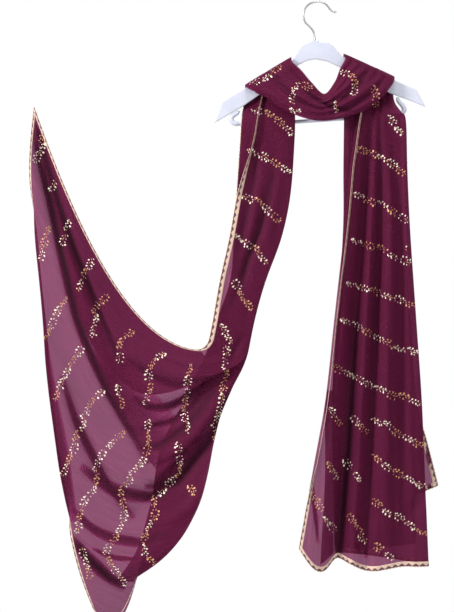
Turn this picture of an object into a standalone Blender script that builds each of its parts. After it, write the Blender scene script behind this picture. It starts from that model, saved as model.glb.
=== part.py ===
"""A sheer dupatta stole draped on its plastic hanger, in metres, +Z up, the front facing -Y.

The origin is the inner side of the hook's crown, where a rail carries the hanger. The dupatta is one
length of georgette with narrow lace round it. Its middle hangs as a cowl in front of the hanger, and
each side goes over an arm, down behind it, forward under it and then down in front of the trouser bar.
The right tail hangs straight. The left tail is gathered at its foot and its free end is held up and out,
so that it opens into a fan. Each stretch is a wall round a smooth sheet: rails run along the cloth, and
a curve goes across them from edge to edge.
"""
import math

import bpy
import numpy as np

MM = 0.001
WALL = 1.0 * MM
GAP = 0.3 * MM
END_GAP = 1.6 * MM
LACE = 9.0 * MM
MITRE_LIMIT = 0.7
RAIL_STEPS = 240
FLAP_STEPS = 8

# The hanger, whose left end hangs lower.
ARM_HALF_DEPTH = 5.0 * MM
ARM_EDGE_ROUND = 1.5 * MM
BAR_RADIUS = 3.6 * MM
WIRE_RADIUS = 1.8 * MM

# The gathered stretch of the left tail, and the fan below it.
LEFT_LAYERS = 6
LAYER_PITCH = 2.7 * MM
BEHIND_ARM = 7.5 * MM
BEFORE_BAR = -7.0 * MM
FAN_LENGTH = 600 * MM
LOW_EDGE_SLACK = 25 * MM
BACK_FOLD_REACH = 70 * MM
BACK_FOLD_DEPTH = 17 * MM
TURNED_EDGE = 29 * MM
TURNED_ROUND = 4.0 * MM
FAN_DEPTH = -12 * MM
FAN_RIPPLE = 13 * MM
PLEAT_SPREAD = 2.0 * MM
CORNER_SMOOTHING = 22 * MM
# How far the fan's lower fold leaves a plain hanging line: place along the rail, and millimetres to the right.
LOWER_BULGE = [(0.0, 0), (0.04, -9), (0.11, -15), (0.18, -6), (0.24, 6), (0.33, 21), (0.47, 32), (0.60, 36),
               (0.75, 20), (0.90, 0), (1.0, 0)]


def mm(*values):
    return np.array(values, dtype=float) * MM


def smooth_step(low, high, value):
    t = np.clip((np.asarray(value, dtype=float) - low) / (high - low), 0.0, 1.0)
    return t * t * (3.0 - 2.0 * t)


def through(points, t):
    """Points at t, from 0 to 1, on a smooth curve through the given points."""
    points = np.asarray(points, dtype=float)
    padded = np.concatenate([[2 * points[0] - points[1]], points, [2 * points[-1] - points[-2]]])
    place = np.clip(np.asarray(t, dtype=float), 0.0, 1.0) * (len(points) - 1)
    first = np.minimum(place.astype(int), len(points) - 2)
    f = (place - first)[:, None]
    a, b, c, d = (padded[first + k] for k in range(4))
    straight, curved = 2 * b + (c - a) * f, 2 * a - 5 * b + 4 * c - d
    return 0.5 * (straight + curved * f ** 2 + (3 * b - a - 3 * c + d) * f ** 3)


def even_steps(points, count):
    """The same curve at equal steps of its own length."""
    reach = np.concatenate([[0.0], np.cumsum(np.linalg.norm(np.diff(points, axis=0), axis=1))])
    wanted = np.linspace(0.0, reach[-1], count)
    return np.stack([np.interp(wanted, reach, points[:, k]) for k in range(points.shape[1])], axis=1)


def soften(points, reach):
    """The curve with its corners rounded over the given length, its ends kept."""
    step = np.linalg.norm(np.diff(points, axis=0), axis=1).mean()
    half = max(1, int(round(reach / step)))
    soft = points.copy()
    for i in range(1, len(points) - 1):
        h = min(half, i, len(points) - 1 - i)
        soft[i] = points[i - h:i + h + 1].mean(axis=0)
    return soft


class Sheet:
    """A cloth surface: u runs along the rails from 0 to 1, s across them from 0 to the last rail."""

    def __init__(self, rails):
        self.rails = np.asarray(rails, dtype=float)
        self.last = len(self.rails) - 1

    def at(self, u, s):
        u, s = np.broadcast_arrays(np.asarray(u, dtype=float), np.asarray(s, dtype=float))
        padded = np.concatenate([[2 * self.rails[0] - self.rails[1]], self.rails,
                                 [2 * self.rails[-1] - self.rails[-2]]])
        steps = padded.shape[1] - 1
        along = np.clip(u, 0.0, 1.0) * steps
        row = np.minimum(along.astype(int), steps - 1)
        g = (along - row)[..., None]
        first = np.minimum(np.clip(s, 0.0, self.last).astype(int), self.last - 1)
        f = (s - first)[..., None]
        weights = ((1 - f) ** 3, 3 * f ** 3 - 6 * f ** 2 + 4, -3 * f ** 3 + 3 * f ** 2 + 3 * f + 1, f ** 3)
        return sum(w * (padded[first + k, row] * (1 - g) + padded[first + k, row + 1] * g)
                   for k, w in enumerate(weights)) / 6.0

    def from_edge(self, u, distance, gap=0.0, far=False):
        """Points a real distance and a gap in from the first edge or the far one, square to that edge."""
        start, inner = (self.last, self.last - 0.2) if far else (0.0, 0.2)
        edge = self.at(u, start)
        along = unit(self.at(u + 0.01, start) - self.at(u - 0.01, start))
        inward = unit(self.at(u, inner) - edge)
        square = np.linalg.norm(np.cross(along, inward), axis=-1, keepdims=True)
        return edge + inward * (distance + gap / np.maximum(square, 0.2))


def new_object(name, points, faces, finish):
    mesh = bpy.data.meshes.new(name)
    mesh.from_pydata([tuple(p) for p in points], [], faces)
    mesh.update()
    thing = bpy.data.objects.new(name, mesh)
    bpy.context.scene.collection.objects.link(thing)
    dress(thing, finish)
    return thing


def dress(thing, finish):
    colour, roughness, metallic = finish
    material = bpy.data.materials.new(thing.name)
    material.use_nodes = True
    shader = material.node_tree.nodes["Principled BSDF"]
    shader.inputs["Base Color"].default_value = (*colour, 1.0)
    shader.inputs["Roughness"].default_value = roughness
    shader.inputs["Metallic"].default_value = metallic
    thing.data.materials.append(material)
    thing.data.shade_smooth()
    thing.data.set_sharp_from_angle(angle=math.radians(50))


GEORGETTE = ((0.09, 0.012, 0.035), 0.75, 0.0)
GOLD_LACE = ((0.62, 0.42, 0.30), 0.45, 0.3)
PLASTIC = ((0.72, 0.75, 0.85), 0.35, 0.0)
STEEL = ((0.55, 0.55, 0.58), 0.3, 1.0)


def unit(vectors):
    return vectors / np.maximum(np.linalg.norm(vectors, axis=-1, keepdims=True), 1e-12)


def mean_direction(grid, axis):
    """The direction of the grid's lines at each point, each neighbouring step counting alike."""
    steps = unit(np.diff(np.moveaxis(grid, axis, 0), axis=0))
    before = np.concatenate([steps[:1], steps])
    after = np.concatenate([steps, steps[-1:]])
    both = before + after
    return np.moveaxis(unit(both), 0, axis), np.moveaxis(np.linalg.norm(both, axis=-1) / 2, 0, axis)


def wall_offsets(grid):
    """Half a wall's thickness at each point, longer at a bend so that the wall keeps its thickness."""
    along, bend_along = mean_direction(grid, 0)
    across, bend_across = mean_direction(grid, 1)
    stretch = 1.0 / np.clip(bend_along * bend_across, MITRE_LIMIT, 1.0)
    return unit(np.cross(along, across)) * stretch[..., None] * WALL / 2


def wall(name, grid, finish):
    """A closed wall of even thickness round a grid of points."""
    rows, columns = grid.shape[:2]
    offsets = wall_offsets(grid)
    points = np.concatenate([(grid + side * offsets).reshape(-1, 3) for side in (1, -1)])
    back = rows * columns

    def at(i, j, side=0):
        return side * back + i * columns + j

    faces = []
    for i in range(rows - 1):
        for j in range(columns - 1):
            corners = [(i, j), (i + 1, j), (i + 1, j + 1), (i, j + 1)]
            if grid[i, j + 1, 0] < grid[i, j, 0]:
                corners = corners[1:] + corners[:1]
            for triangle in (corners[:3], [corners[0], *corners[2:]]):
                faces.append([at(*c) for c in triangle])
                faces.append([at(*c, 1) for c in reversed(triangle)])
    rim = [(i, 0) for i in range(rows)] + [(rows - 1, j) for j in range(1, columns)]
    rim += [(i, columns - 1) for i in range(rows - 2, -1, -1)]
    rim += [(0, j) for j in range(columns - 2, 0, -1)]
    for start, end in zip(rim, rim[1:] + rim[:1]):
        faces.append([at(*end), at(*start), at(*start, 1)])
        faces.append([at(*end), at(*start, 1), at(*end, 1)])
    return new_object(name, points, faces, finish)


# Left tail. The contours of the gathered stretch: height, then the lace edge, the left and the right fold.
LEFT_FALL = [
    #  z     lace   left  right   depth of the first layer
    (-362, -152, -149, -55, -23),
    (-450, -168, -155, -73, -23),
    (-530, -186, -161, -103, -23),
    (-605, -199, -187, -124, -23),
]
LEFT_FOOT = {"left": mm(-211, -664), "right": mm(-134, -682)}
LEFT_BAR_Z = -228 * MM
# The left and right limits of a layer inside the roll, at the foot of the arm and at the bar. The first
# layer starts further in, at its lace.
LEFT_ARM_X = [(-104, -45), (-112, -43), (-124, -42)]
LEFT_ARM_X_BEHIND = [(-137, -45), (-141, -43), (-146, -42)]
# The held end, from the lifted corner down to the low one: x and z of its outline.
LEFT_END = [(-541, -199), (-550, -292), (-545, -400), (-534, -509), (-524, -610), (-517, -711),
            (-505, -811), (-490, -915), (-473, -1010), (-451, -1100), (-427, -1160)]
# How far across the cloth the end edge is turned under.
TURNED_FROM, TURNED_TO = 0.20, 0.80


def arm_line(x, offset=0.0):
    """Height of the arms' top edge at x."""
    return np.interp(x, mm(-197, -183, -47, 47, 188, 206), mm(-225, -191, -109, -103, -167, -195)) + offset


def arm_foot(x):
    """Height of the arms' lower edge at x."""
    return np.interp(x, mm(-197, -142, -108, -72, -36, -4, 39, 91, 138, 184, 206),
                     mm(-230, -198, -174, -149, -119, -108, -122, -149, -173, -190, -199))


def bar_line(x):
    """Height of the trouser bar between the arms' loops, at x in millimetres."""
    return -225 + 0.065 * x


def left_controls():
    """One entry for each rail: place across the cloth, layer, and place between the left and right folds."""
    rails = []
    for layer in range(LEFT_LAYERS):
        first = 0.0 if layer == 0 else 0.06
        final = 1.0 if layer == LEFT_LAYERS - 1 else 0.94
        for part, side in ((first, 0.0), (0.34, 0.33), (0.66, 0.67), (final, 1.0)):
            rails.append(((layer + part) / LEFT_LAYERS, layer, side if layer % 2 == 0 else 1.0 - side))
    return rails


def hanging(start, end, length, count=60):
    """A cord of the given length hung between two points, as a parabola in a vertical plane."""
    t = np.linspace(0.0, 1.0, count)[:, None]
    low, high = 0.0, 2.0 * length
    for _ in range(40):
        sag = (low + high) / 2
        path = start + (end - start) * t - np.array([0.0, 0.0, 4.0 * sag]) * t * (1 - t)
        if np.linalg.norm(np.diff(path, axis=0), axis=1).sum() < length:
            low = sag
        else:
            high = sag
    return path


def left_end(v):
    x, z = even_steps(through(mm(*LEFT_END), np.linspace(0, 1, 80)), 200)[int(round(v * 199))]
    return np.array([x, FAN_DEPTH, z])


def left_rail(v, layer, side):
    """One rail of the left tail, from inside the roll on the arm to the held end."""
    depth = layer * LAYER_PITCH
    before = BEFORE_BAR - (LEFT_LAYERS - 1 - layer) * LAYER_PITCH
    front_layer = layer == 0
    across = [(left + (right - left) * side) * MM for left, right in
              (LEFT_ARM_X if front_layer else LEFT_ARM_X_BEHIND)]
    top_x, foot_x, bar_x = across
    path = [(top_x, BEHIND_ARM + depth, arm_line(top_x, -11 * MM)),
            (foot_x, BEHIND_ARM + depth, arm_foot(foot_x) - 1.5 * MM),
            (0.6 * foot_x + 0.4 * bar_x, 0.45 * (BEHIND_ARM + depth) + 0.55 * before,
             0.45 * arm_foot(foot_x) + 0.55 * (LEFT_BAR_Z + 5 * MM)),
            (bar_x, before, LEFT_BAR_Z + 3 * MM),
            (bar_x, before - 1 * MM, LEFT_BAR_Z - 14 * MM)]
    for z, lace, left, right, first in LEFT_FALL:
        if front_layer:
            x = lace + (right + 5 - lace) * side
        else:
            x = left - 5 + (right - left + 10) * side
        path.append((x * MM, first * MM + depth, z * MM))
    foot = LEFT_FOOT["left"] * (1 - side) + LEFT_FOOT["right"] * side
    start = np.array([foot[0], -23 * MM + depth, foot[1]])
    upper = through(path + [tuple(start)], np.linspace(0, 1, 160))

    turned = smooth_step(TURNED_FROM - 0.08, TURNED_FROM + 0.08, v)
    turned -= smooth_step(TURNED_TO - 0.08, TURNED_TO + 0.08, v)
    outline = left_end(v)
    length = FAN_LENGTH + LOW_EDGE_SLACK * smooth_step(0.94, 1.0, v)
    trial = hanging(start, outline, length)
    outward = trial[-1] - trial[-4]
    outward[1] = 0.0
    outward /= np.linalg.norm(outward)
    fold = outline - outward * (TURNED_EDGE * (1 - turned) + TURNED_ROUND * turned)
    fan = hanging(start, fold, length - TURNED_EDGE)
    t = np.linspace(0.0, 1.0, len(fan))
    opened = smooth_step(0.12, 0.60, t)
    spread = (layer - (LEFT_LAYERS - 1) / 2) * PLEAT_SPREAD * smooth_step(0.0, 0.15, t)
    wave = math.cos(math.pi * (layer + (side if layer % 2 == 0 else 1 - side)))
    ripple = FAN_RIPPLE * wave * smooth_step(0.0, 0.18, t) * (1 - 0.45 * t)
    fan[:, 1] = (start[1] + spread) * (1 - opened) + FAN_DEPTH * opened + ripple
    returned = smooth_step(0.84, 1.0, v)
    back = BACK_FOLD_DEPTH * smooth_step(0.84, 0.93, v) * smooth_step(0, 0.12, t)
    fan[:, 1] += back * (1 - smooth_step(0.72, 1, t))
    fan[:, 0] -= BACK_FOLD_REACH * returned * smooth_step(0, 0.2, t) * np.clip(1 - t / 0.95, 0, 1)
    lower_fold = smooth_step(0.68, 0.82, v) * (1 - smooth_step(0.87, 0.95, v))
    fan[:, 0] += lower_fold * np.interp(t, *zip(*LOWER_BULGE)) * MM

    angle = math.pi * turned
    flap = []
    for q in np.linspace(0, TURNED_EDGE, 12)[1:]:
        bent = min(q / TURNED_ROUND, angle)
        straight = q - bent * TURNED_ROUND
        out = (TURNED_ROUND * math.sin(bent) if bent > 1e-6 else 0.0) + straight * math.cos(angle)
        behind = TURNED_ROUND * (1 - math.cos(bent)) + straight * math.sin(angle)
        flap.append(fan[-1] + outward * out + np.array([0.0, behind, 0.0]))
    main = soften(even_steps(np.concatenate([upper, fan[1:]]), RAIL_STEPS), CORNER_SMOOTHING)
    return np.concatenate([main, even_steps(np.array([fan[-1]] + flap), FLAP_STEPS + 1)[1:]])


def left_sheet():
    return Sheet([left_rail(*c) for c in left_controls()])


# Right tail, a rail for each ridge, valley and fold: its place in the stack on the arm, its x at the arm,
# at hip, knee and hem, the height of the hem there, and its y at hip, knee and hem.
HIP_Z, KNEE_Z = -434, -759
RIGHT_RAILS = [
    # name           stack   arm   hip  knee   hem  hem z   hip y  knee y  hem y
    ("lace edge",      1.0,   76,   50,   14,  -36, -1040,   -20,   -22,   -26),
    ("ridge a",        0.0,   91,   66,   29,  -12, -1080,   -24,   -28,   -34),
    ("flank a",        3.0,   98,   76,   42,   14, -1090,   -16,   -18,   -20),
    ("valley a",       6.0,  103,   86,   54,   34, -1054,    -8,    -2,     4),
    ("flank b",        3.0,  107,   95,   68,   52, -1066,   -16,   -14,   -12),
    ("ridge b",        0.0,  112,  106,   82,   68, -1072,   -24,   -28,   -32),
    ("valley b",       6.0,  118,  121,  104,   86, -1084,    -8,    -4,     2),
    ("ridge c",        0.5,  122,  133,  122,  108, -1084,   -22,   -26,   -28),
    ("flank c",        2.0,  127,  144,  139,  131, -1080,   -20,   -20,   -22),
    ("valley c",       3.5,  133,  156,  159,  161, -1074,   -12,   -12,   -12),
    ("ridge d",        3.0,  139,  166,  179,  187, -1076,   -16,   -16,   -16),
    ("right fold 1",   3.5,  146,  177,  200,  214, -1075,   -12,   -12,   -12),
    ("right fold 2",   9.5,  146,  177,  200,  213, -1075,    -6,    -4,    -2),
    ("back a",        10.0,   97,  112,  112,  120, -1056,    -5,    -2,     2),
    ("left fold 1",   10.0,   48,   46,   24,   28, -1048,    -5,    -4,     0),
    ("left fold 2",  13.0,   48,   46,   24,   30, -1048,     1,     4,     8),
    ("back b",       13.5,   95,  108,  108,  110, -1044,     2,     6,    12),
    ("right fold 3", 13.0,  141,  168,  182,  192, -1032,     1,     4,     8),
    ("right fold 4", 16.0,  141,  168,  182,  192, -1032,     7,    12,    18),
    ("back c",       16.5,   98,  112,  112,  115, -1010,     8,    14,    22),
    ("left fold 3",  16.0,   56,   58,   50,   62, -1000,     6,    11,    18),
    ("left fold 4",  19.0,   56,   58,   50,   62, -1000,    14,    22,    31),
    ("back d",       19.5,   98,  115,  128,  150,  -958,    14,    22,    30),
    ("back edge",    19.5,  136,  166,  190,  232,  -924,    13,    20,    24),
]
# In millimetres, as the table: the depth of the nearest layer behind the arm and before the bar.
RIGHT_BEHIND_ARM, RIGHT_BEFORE_BAR = 5.3, -5.6
RIGHT_STACK = 19.5
STACK_SQUEEZE = 0.95
# Steps of a right rail that go over the arm and the bar, at the same heights on every layer.
BAR_STEPS = 36


def right_rail(name, stack, arm, hip, knee, hem, hem_z, hip_y, knee_y, hem_y):
    """One rail of the right tail, from inside the roll on the arm to the hem."""
    behind = RIGHT_BEHIND_ARM + STACK_SQUEEZE * stack
    before = RIGHT_BEFORE_BAR - STACK_SQUEEZE * (RIGHT_STACK - stack)
    bar = bar_line(arm)
    path = [(arm, behind, arm_line(arm * MM) / MM - 11),
            (arm, behind, arm_foot(arm * MM) / MM - 1.5),
            (arm, 0.45 * behind + 0.55 * before, 0.45 * arm_foot(arm * MM) / MM + 0.55 * (bar + 7)),
            (arm + 0.05 * (hip - arm), before, bar + 5),
            (arm + 0.15 * (hip - arm), before - 1, bar - 12),
            (arm + 0.60 * (hip - arm), 0.4 * before + 0.6 * hip_y, -320),
            (hip, hip_y, HIP_Z),
            (0.5 * (hip + knee), 0.5 * (hip_y + knee_y), 0.5 * (HIP_Z + KNEE_Z)),
            (knee, knee_y, KNEE_Z),
            (0.5 * (knee + hem), 0.5 * (knee_y + hem_y), 0.5 * (KNEE_Z + hem_z)),
            (hem, hem_y, hem_z)]
    route = through(mm(*path), np.linspace(0, 1, 201))
    over_bar, below = route[:81], route[80:]
    lower = even_steps(below, RAIL_STEPS - BAR_STEPS + 1)[1:]
    return np.concatenate([even_steps(over_bar, BAR_STEPS), lower])


def right_sheet():
    return Sheet([right_rail(*row) for row in RIGHT_RAILS])


# The cowl, from the roll behind the left arm to the roll behind the right one. Each station gives the top
# edge at the neck, the middle of the band, and its lowest fold.
COWL_STATIONS = [
    #  name              neck x  y  z       middle x  y  z      lowest x  y  z
    ("left front",      (-48, -16, -115),  (-90, -19, -137),  (-131, -18, -167)),
    ("left lobe",       (-32, -17, -130),  (-64, -30, -152),  (-96, -28, -183)),
    ("left of middle",  (-12, -20, -154),  (-34, -43, -176),  (-54, -39, -213)),
    ("middle",          (12, -22, -176),   (8, -50, -198),    (6, -42, -229)),
    ("right of middle", (32, -20, -153),   (52, -44, -172),   (74, -40, -215)),
    ("right lobe",      (42, -17, -128),   (76, -31, -148),   (117, -29, -188)),
    ("right front",     (52, -16, -109),   (97, -19, -131),   (143, -18, -156)),
]
# Over the arm, from the front to the end of the roll behind it: y, and height over the arm's top edge.
COWL_ROLL = [(1, 7), (22, 1), (30, -23)]
# How much nearer the arm the roll ends behind the left and the right one.
ROLL_SHIFT = {-1: 2.0, 1: 2.3}
# How far each rail of the cowl, from the neck down, is raised (-) or sunk (+) as a pleat.
COWL_PLEATS = [0, -4, 4, -5, 4, -6, 3, -3, 6, -5, 4, -4, 0]



def bend(neck, middle, lowest, f):
    """The point at f on the smooth curve through three points."""
    return (neck * 2 * (f - 0.5) * (f - 1) + middle * 4 * f * (1 - f) + lowest * 2 * f * (f - 0.5))


def cowl_rail(f, pleat):
    front = [bend(*(mm(*p) for p in station[1:]), f) for station in COWL_STATIONS]
    for i, point in enumerate(front):
        point[1] += pleat * MM * math.sin(math.pi * (i + 1) / (len(front) + 1)) ** 0.7
    rolls = []
    for x in ((-50 - 88 * f) * MM, (50 + 97 * f) * MM):
        nearer = ROLL_SHIFT[int(np.sign(x))]
        rolls.append([np.array([x, (y - nearer * (y > 1) + 0.25 * abs(pleat)) * MM,
                                arm_line(x) + (up + 0.2 * abs(pleat)) * MM]) for y, up in COWL_ROLL])
    path = rolls[0][::-1] + front + rolls[1]
    return even_steps(through(path, np.linspace(0, 1, 200)), RAIL_STEPS)


def cowl_sheet():
    last = len(COWL_PLEATS) - 1
    return Sheet([cowl_rail(i / last, pleat) for i, pleat in enumerate(COWL_PLEATS)])


def cut(sheet, rows, halves):
    """The cloth of a sheet inside its two long laces: a column at each rail and at the halfway marks."""
    inside = sorted(list(range(1, sheet.last)) + [k + 0.5 for k in halves])
    columns = [sheet.from_edge(rows, LACE, GAP)]
    columns += [sheet.at(rows, s) for s in inside]
    columns += [sheet.from_edge(rows, LACE, 2.5 * GAP, far=True)]
    return np.stack(columns, axis=1)


def side_lace(sheet, rows, far=False):
    distances = (LACE, 0.0) if far else (0.0, LACE)
    return np.stack([sheet.from_edge(rows, distance, far=far) for distance in distances], axis=1)


def end_lace(sheet, halves, length):
    rows = np.array([1.0 - LACE / length, 1.0])
    return cut(sheet, rows, halves)


def spaced(*spans):
    """Rows along the cloth: each span is its start, its end and its number of steps."""
    rows = [np.linspace(a, b, n + 1)[(0 if k == 0 else 1):] for k, (a, b, n) in enumerate(spans)]
    return np.concatenate(rows)


def tube(name, path, radii, sides, finish):
    """A round bar along a path, closed at both ends, with a radius for each point."""
    path = np.asarray(path)
    tangents = np.gradient(path, axis=0)
    tangents /= np.linalg.norm(tangents, axis=1, keepdims=True)
    side = np.array([0.0, 1.0, 0.0])
    angles = np.arange(sides) * 2 * math.pi / sides
    points = []
    for centre, tangent, radius in zip(path, tangents, radii):
        other = np.cross(tangent, side)
        for a in angles:
            points.append(centre + radius * (math.cos(a) * side + math.sin(a) * other))
    faces = [list(range(sides))[::-1]]
    for i in range(len(path) - 1):
        for j in range(sides):
            k = (j + 1) % sides
            faces.append([i * sides + j, i * sides + k, (i + 1) * sides + k, (i + 1) * sides + j])
    faces.append([(len(path) - 1) * sides + j for j in range(sides)])
    return new_object(name, points, faces, finish)


# Outline of the moulded hanger, x and z: over the top from the left tip, then back along the arched foot.
HANGER_OUTLINE = [
    (-197, -230), (-183, -191), (-47, -109), (-33, -86), (-26, -79), (-14, -76), (-12, -72.6), (1, -72.6),
    (3, -76), (20, -77), (28, -82), (47, -103), (188, -167), (206, -199), (184, -190), (138, -173),
    (91, -149), (39, -122), (18, -112), (-4, -108), (-20, -111), (-36, -119), (-72, -149), (-108, -174),
    (-142, -198),
]


def hanger_body():
    outline = mm(*HANGER_OUTLINE)
    points = [(x, y, z) for y in (-ARM_HALF_DEPTH, ARM_HALF_DEPTH) for x, z in outline]
    count = len(outline)
    faces = [list(range(count))[::-1], [count + k for k in range(count)]]
    faces += [[k, (k + 1) % count, count + (k + 1) % count, count + k] for k in range(count)]
    thing = new_object("hanger_body", points, faces, PLASTIC)
    rounding = thing.modifiers.new("rounded edges", "BEVEL")
    rounding.width = ARM_EDGE_ROUND
    rounding.segments = 2
    rounding.limit_method = "ANGLE"
    rounding.angle_limit = math.radians(60)
    return thing


BAR_ROUTE = [
    (-150, -206.3), (-153, -211), (-159, -214.5), (-164.3, -219.5), (-163, -227), (-155.5, -231),
    (-140, -231.5), (-100, -231), (0, -225), (100, -218), (150, -214.5), (160.5, -211.5), (165.5, -205),
    (163, -197.5), (158, -192), (154.3, -187.5), (152.5, -181.2),
]
HOOK_ROUTE = [
    (-5.3, -72.3), (-5.6, -66), (-8, -55), (-15, -46), (-22.7, -38.5), (-26.9, -25.2), (-24, -12.5),
    (-14.5, -2.2), (0, 1.8), (11.5, -0.8), (18.5, -6), (23.5, -12.5), (29, -17), (36, -18),
]


def flat_route(points, steps_between):
    """The route of a bar in the hanger's own plane, as many steps between each two points."""
    count = (len(points) - 1) * steps_between + 1
    return through(mm(*[(x, 0, z) for x, z in points]), np.linspace(0, 1, count))


def trouser_bar():
    path = flat_route(BAR_ROUTE, 3)
    return tube("trouser_bar", path, [BAR_RADIUS] * len(path), 8, PLASTIC)


def hook():
    path = flat_route(HOOK_ROUTE, 3)
    radii = [WIRE_RADIUS] * len(path)
    radii[-3:] = [1.3 * WIRE_RADIUS, 1.3 * WIRE_RADIUS, 0.7 * WIRE_RADIUS]
    return tube("hook", path, radii, 10, STEEL)


LEFT_LENGTH, RIGHT_LENGTH = 1.09, 1.0
FLAP_START = (RAIL_STEPS - 1) / (RAIL_STEPS - 1 + FLAP_STEPS)
LEFT_ROWS = spaced((0.0, 0.13, 7), (0.13, 0.40, 5), (0.40, 0.52, 5), (0.52, FLAP_START, 12),
                   (FLAP_START, FLAP_START + 3.5 / (RAIL_STEPS - 1 + FLAP_STEPS), 2), (0.9865, 1.0, 1))
RIGHT_ROWS = spaced((0.0, 0.14, 9), (0.14, 1.0, 11))
COWL_COLUMNS = np.arange(2 * len(COWL_PLEATS) - 1) / 2
LEFT_HALVES = sorted([4 * layer + 1 for layer in range(LEFT_LAYERS)] + [3, 11])
RIGHT_HALVES = [1, 2, 3, 4, 5, 6, 7, 8, 9, 11, 12, 13, 15, 16, 18, 19, 21]
COWL_ROWS = spaced((0.0, 0.2, 5), (0.2, 0.8, 14), (0.8, 1.0, 5))


def before_end(rows, length):
    """The same rows, ending where the end lace begins."""
    kept = rows[rows < 1.0 - 1.5 * LACE / length]
    return np.append(kept, 1.0 - (LACE + END_GAP) / length)


def model():
    hook()
    hanger_body()
    trouser_bar()
    wall("neck_cowl", np.stack([cowl_sheet().at(COWL_ROWS, s) for s in COWL_COLUMNS], axis=1), GEORGETTE)
    tails = (
        ("left", left_sheet(), LEFT_ROWS, LEFT_LENGTH, LEFT_HALVES),
        ("right", right_sheet(), RIGHT_ROWS, RIGHT_LENGTH, RIGHT_HALVES),
    )
    for side, sheet, rows, length, halves in tails:
        wall(side + "_tail", cut(sheet, before_end(rows, length), halves), GEORGETTE)
        wall(side + "_side_lace", side_lace(sheet, rows), GOLD_LACE)
        wall(side + "_back_lace", side_lace(sheet, rows, far=True), GOLD_LACE)
        wall(side + "_end_lace", end_lace(sheet, halves, length), GOLD_LACE)


for thing in list(bpy.data.objects):
    bpy.data.objects.remove(thing, do_unlink=True)
model()
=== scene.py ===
# %% [markdown]
# # A sheer dupatta stole on its hanger
#
# A dupatta is a long stole of thin cloth. This one is wine-coloured georgette with lines of foil vines and a
# narrow gold lace sewn round it. It is draped over a plastic hanger: a cowl in front, a tail that hangs
# straight, and a tail whose free end is held up and out, so that it opens into a fan. The solids of the model
# are loaded first, and everything below is made in their frame, in metres.

# %% Load the solids
import math

import bpy
import numpy as np
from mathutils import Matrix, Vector
from mathutils.bvhtree import BVHTree


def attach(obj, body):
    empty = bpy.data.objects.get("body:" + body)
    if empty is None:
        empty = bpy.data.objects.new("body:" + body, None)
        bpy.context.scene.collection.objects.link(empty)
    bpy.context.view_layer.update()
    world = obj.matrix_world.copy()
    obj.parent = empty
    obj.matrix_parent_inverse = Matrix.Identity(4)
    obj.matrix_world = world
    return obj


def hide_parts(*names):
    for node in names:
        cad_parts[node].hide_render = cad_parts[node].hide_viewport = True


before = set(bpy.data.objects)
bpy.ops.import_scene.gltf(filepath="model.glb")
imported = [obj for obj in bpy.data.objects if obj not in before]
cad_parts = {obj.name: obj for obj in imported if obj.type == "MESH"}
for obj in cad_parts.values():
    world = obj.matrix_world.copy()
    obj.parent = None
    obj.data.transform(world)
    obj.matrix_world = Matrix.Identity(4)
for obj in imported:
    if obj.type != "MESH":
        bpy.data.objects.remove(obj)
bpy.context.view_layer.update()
print("solids:", sorted(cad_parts))

# %% [markdown]
# ## Shader sums
#
# A finish is a tree of nodes, which is hard to read when each node and link takes a line. Here a socket is
# wrapped in a small class with the usual signs of arithmetic, so that a finish is written as a sum.

# %% Shader expressions
class Shade:
    """An output of a shader node, which can be used in sums as if it were a number."""

    def __init__(self, tree, socket=None):
        self.tree = tree
        self.socket = socket

    def node(self, kind, values=None, output=0, **settings):
        """Makes a node: its settings first, then the value or the link of each socket."""
        made = self.tree.nodes.new(kind)
        for name, value in settings.items():
            setattr(made, name, value)
        for name, value in (values or {}).items():
            if isinstance(value, Shade):
                self.tree.links.new(value.socket, made.inputs[name])
            else:
                made.inputs[name].default_value = value
        return Shade(self.tree, made.outputs[output])

    def maths(self, operation, first, second):
        return self.node("ShaderNodeMath", {0: first, 1: second}, operation=operation)

    def __add__(self, other):
        return self.maths("ADD", self, other)

    def __radd__(self, other):
        return self.maths("ADD", other, self)

    def __sub__(self, other):
        return self.maths("SUBTRACT", self, other)

    def __rsub__(self, other):
        return self.maths("SUBTRACT", other, self)

    def __mul__(self, other):
        return self.maths("MULTIPLY", self, other)

    def __rmul__(self, other):
        return self.maths("MULTIPLY", other, self)

    def between(self, low, high):
        """0 below low, 1 above high, and a smooth step between them."""
        return self.node("ShaderNodeMapRange", {"Value": self, "From Min": low, "From Max": high},
                         interpolation_type="SMOOTHSTEP")

    def mix(self, first, second):
        """The first colour where this is 0, the second where it is 1."""
        return self.node("ShaderNodeMix", {0: self, 6: colour(first), 7: colour(second)}, output=2,
                         data_type="RGBA")

    def noise(self, place, scale, detail=2.0):
        return self.node("ShaderNodeTexNoise", {"Vector": place, "Scale": scale, "Detail": detail})

    def bump(self, height, strength):
        """A bump whose height is in metres."""
        return self.node("ShaderNodeBump", {"Height": height, "Distance": 1.0, "Strength": strength})

    def parts(self):
        """The first and the second part of a place."""
        return [self.node("ShaderNodeSeparateXYZ", {"Vector": self}, output=k) for k in (0, 1)]


def colour(value):
    return value if isinstance(value, Shade) else (*value, 1.0)


print("sums of sockets: +, - and *")

# %% [markdown]
# ## Camera, floor and light
#
# The stole was photographed straight from the front with a long lens, so the camera stands almost five metres
# away. A white surround lights sheer cloth from behind, which is what gives the single layers their lilac
# colour. Four large lights add the soft shading that shows the folds: one from the left, one in front, one
# above and one behind.

# %% Camera
PICTURE = {"centre_x": -0.1729, "centre_z": -0.5795, "height": 1.1689}
LENS, SENSOR = 100.0, 24.0


def make_camera():
    data = bpy.data.cameras.new("camera")
    data.lens = LENS
    data.sensor_width = SENSOR
    distance = PICTURE["height"] * LENS / SENSOR
    camera = bpy.data.objects.new("camera", data)
    bpy.context.scene.collection.objects.link(camera)
    camera.location = (PICTURE["centre_x"], -distance, PICTURE["centre_z"])
    camera.rotation_euler = (math.radians(90), 0, 0)
    bpy.context.scene.camera = camera
    return distance


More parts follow.
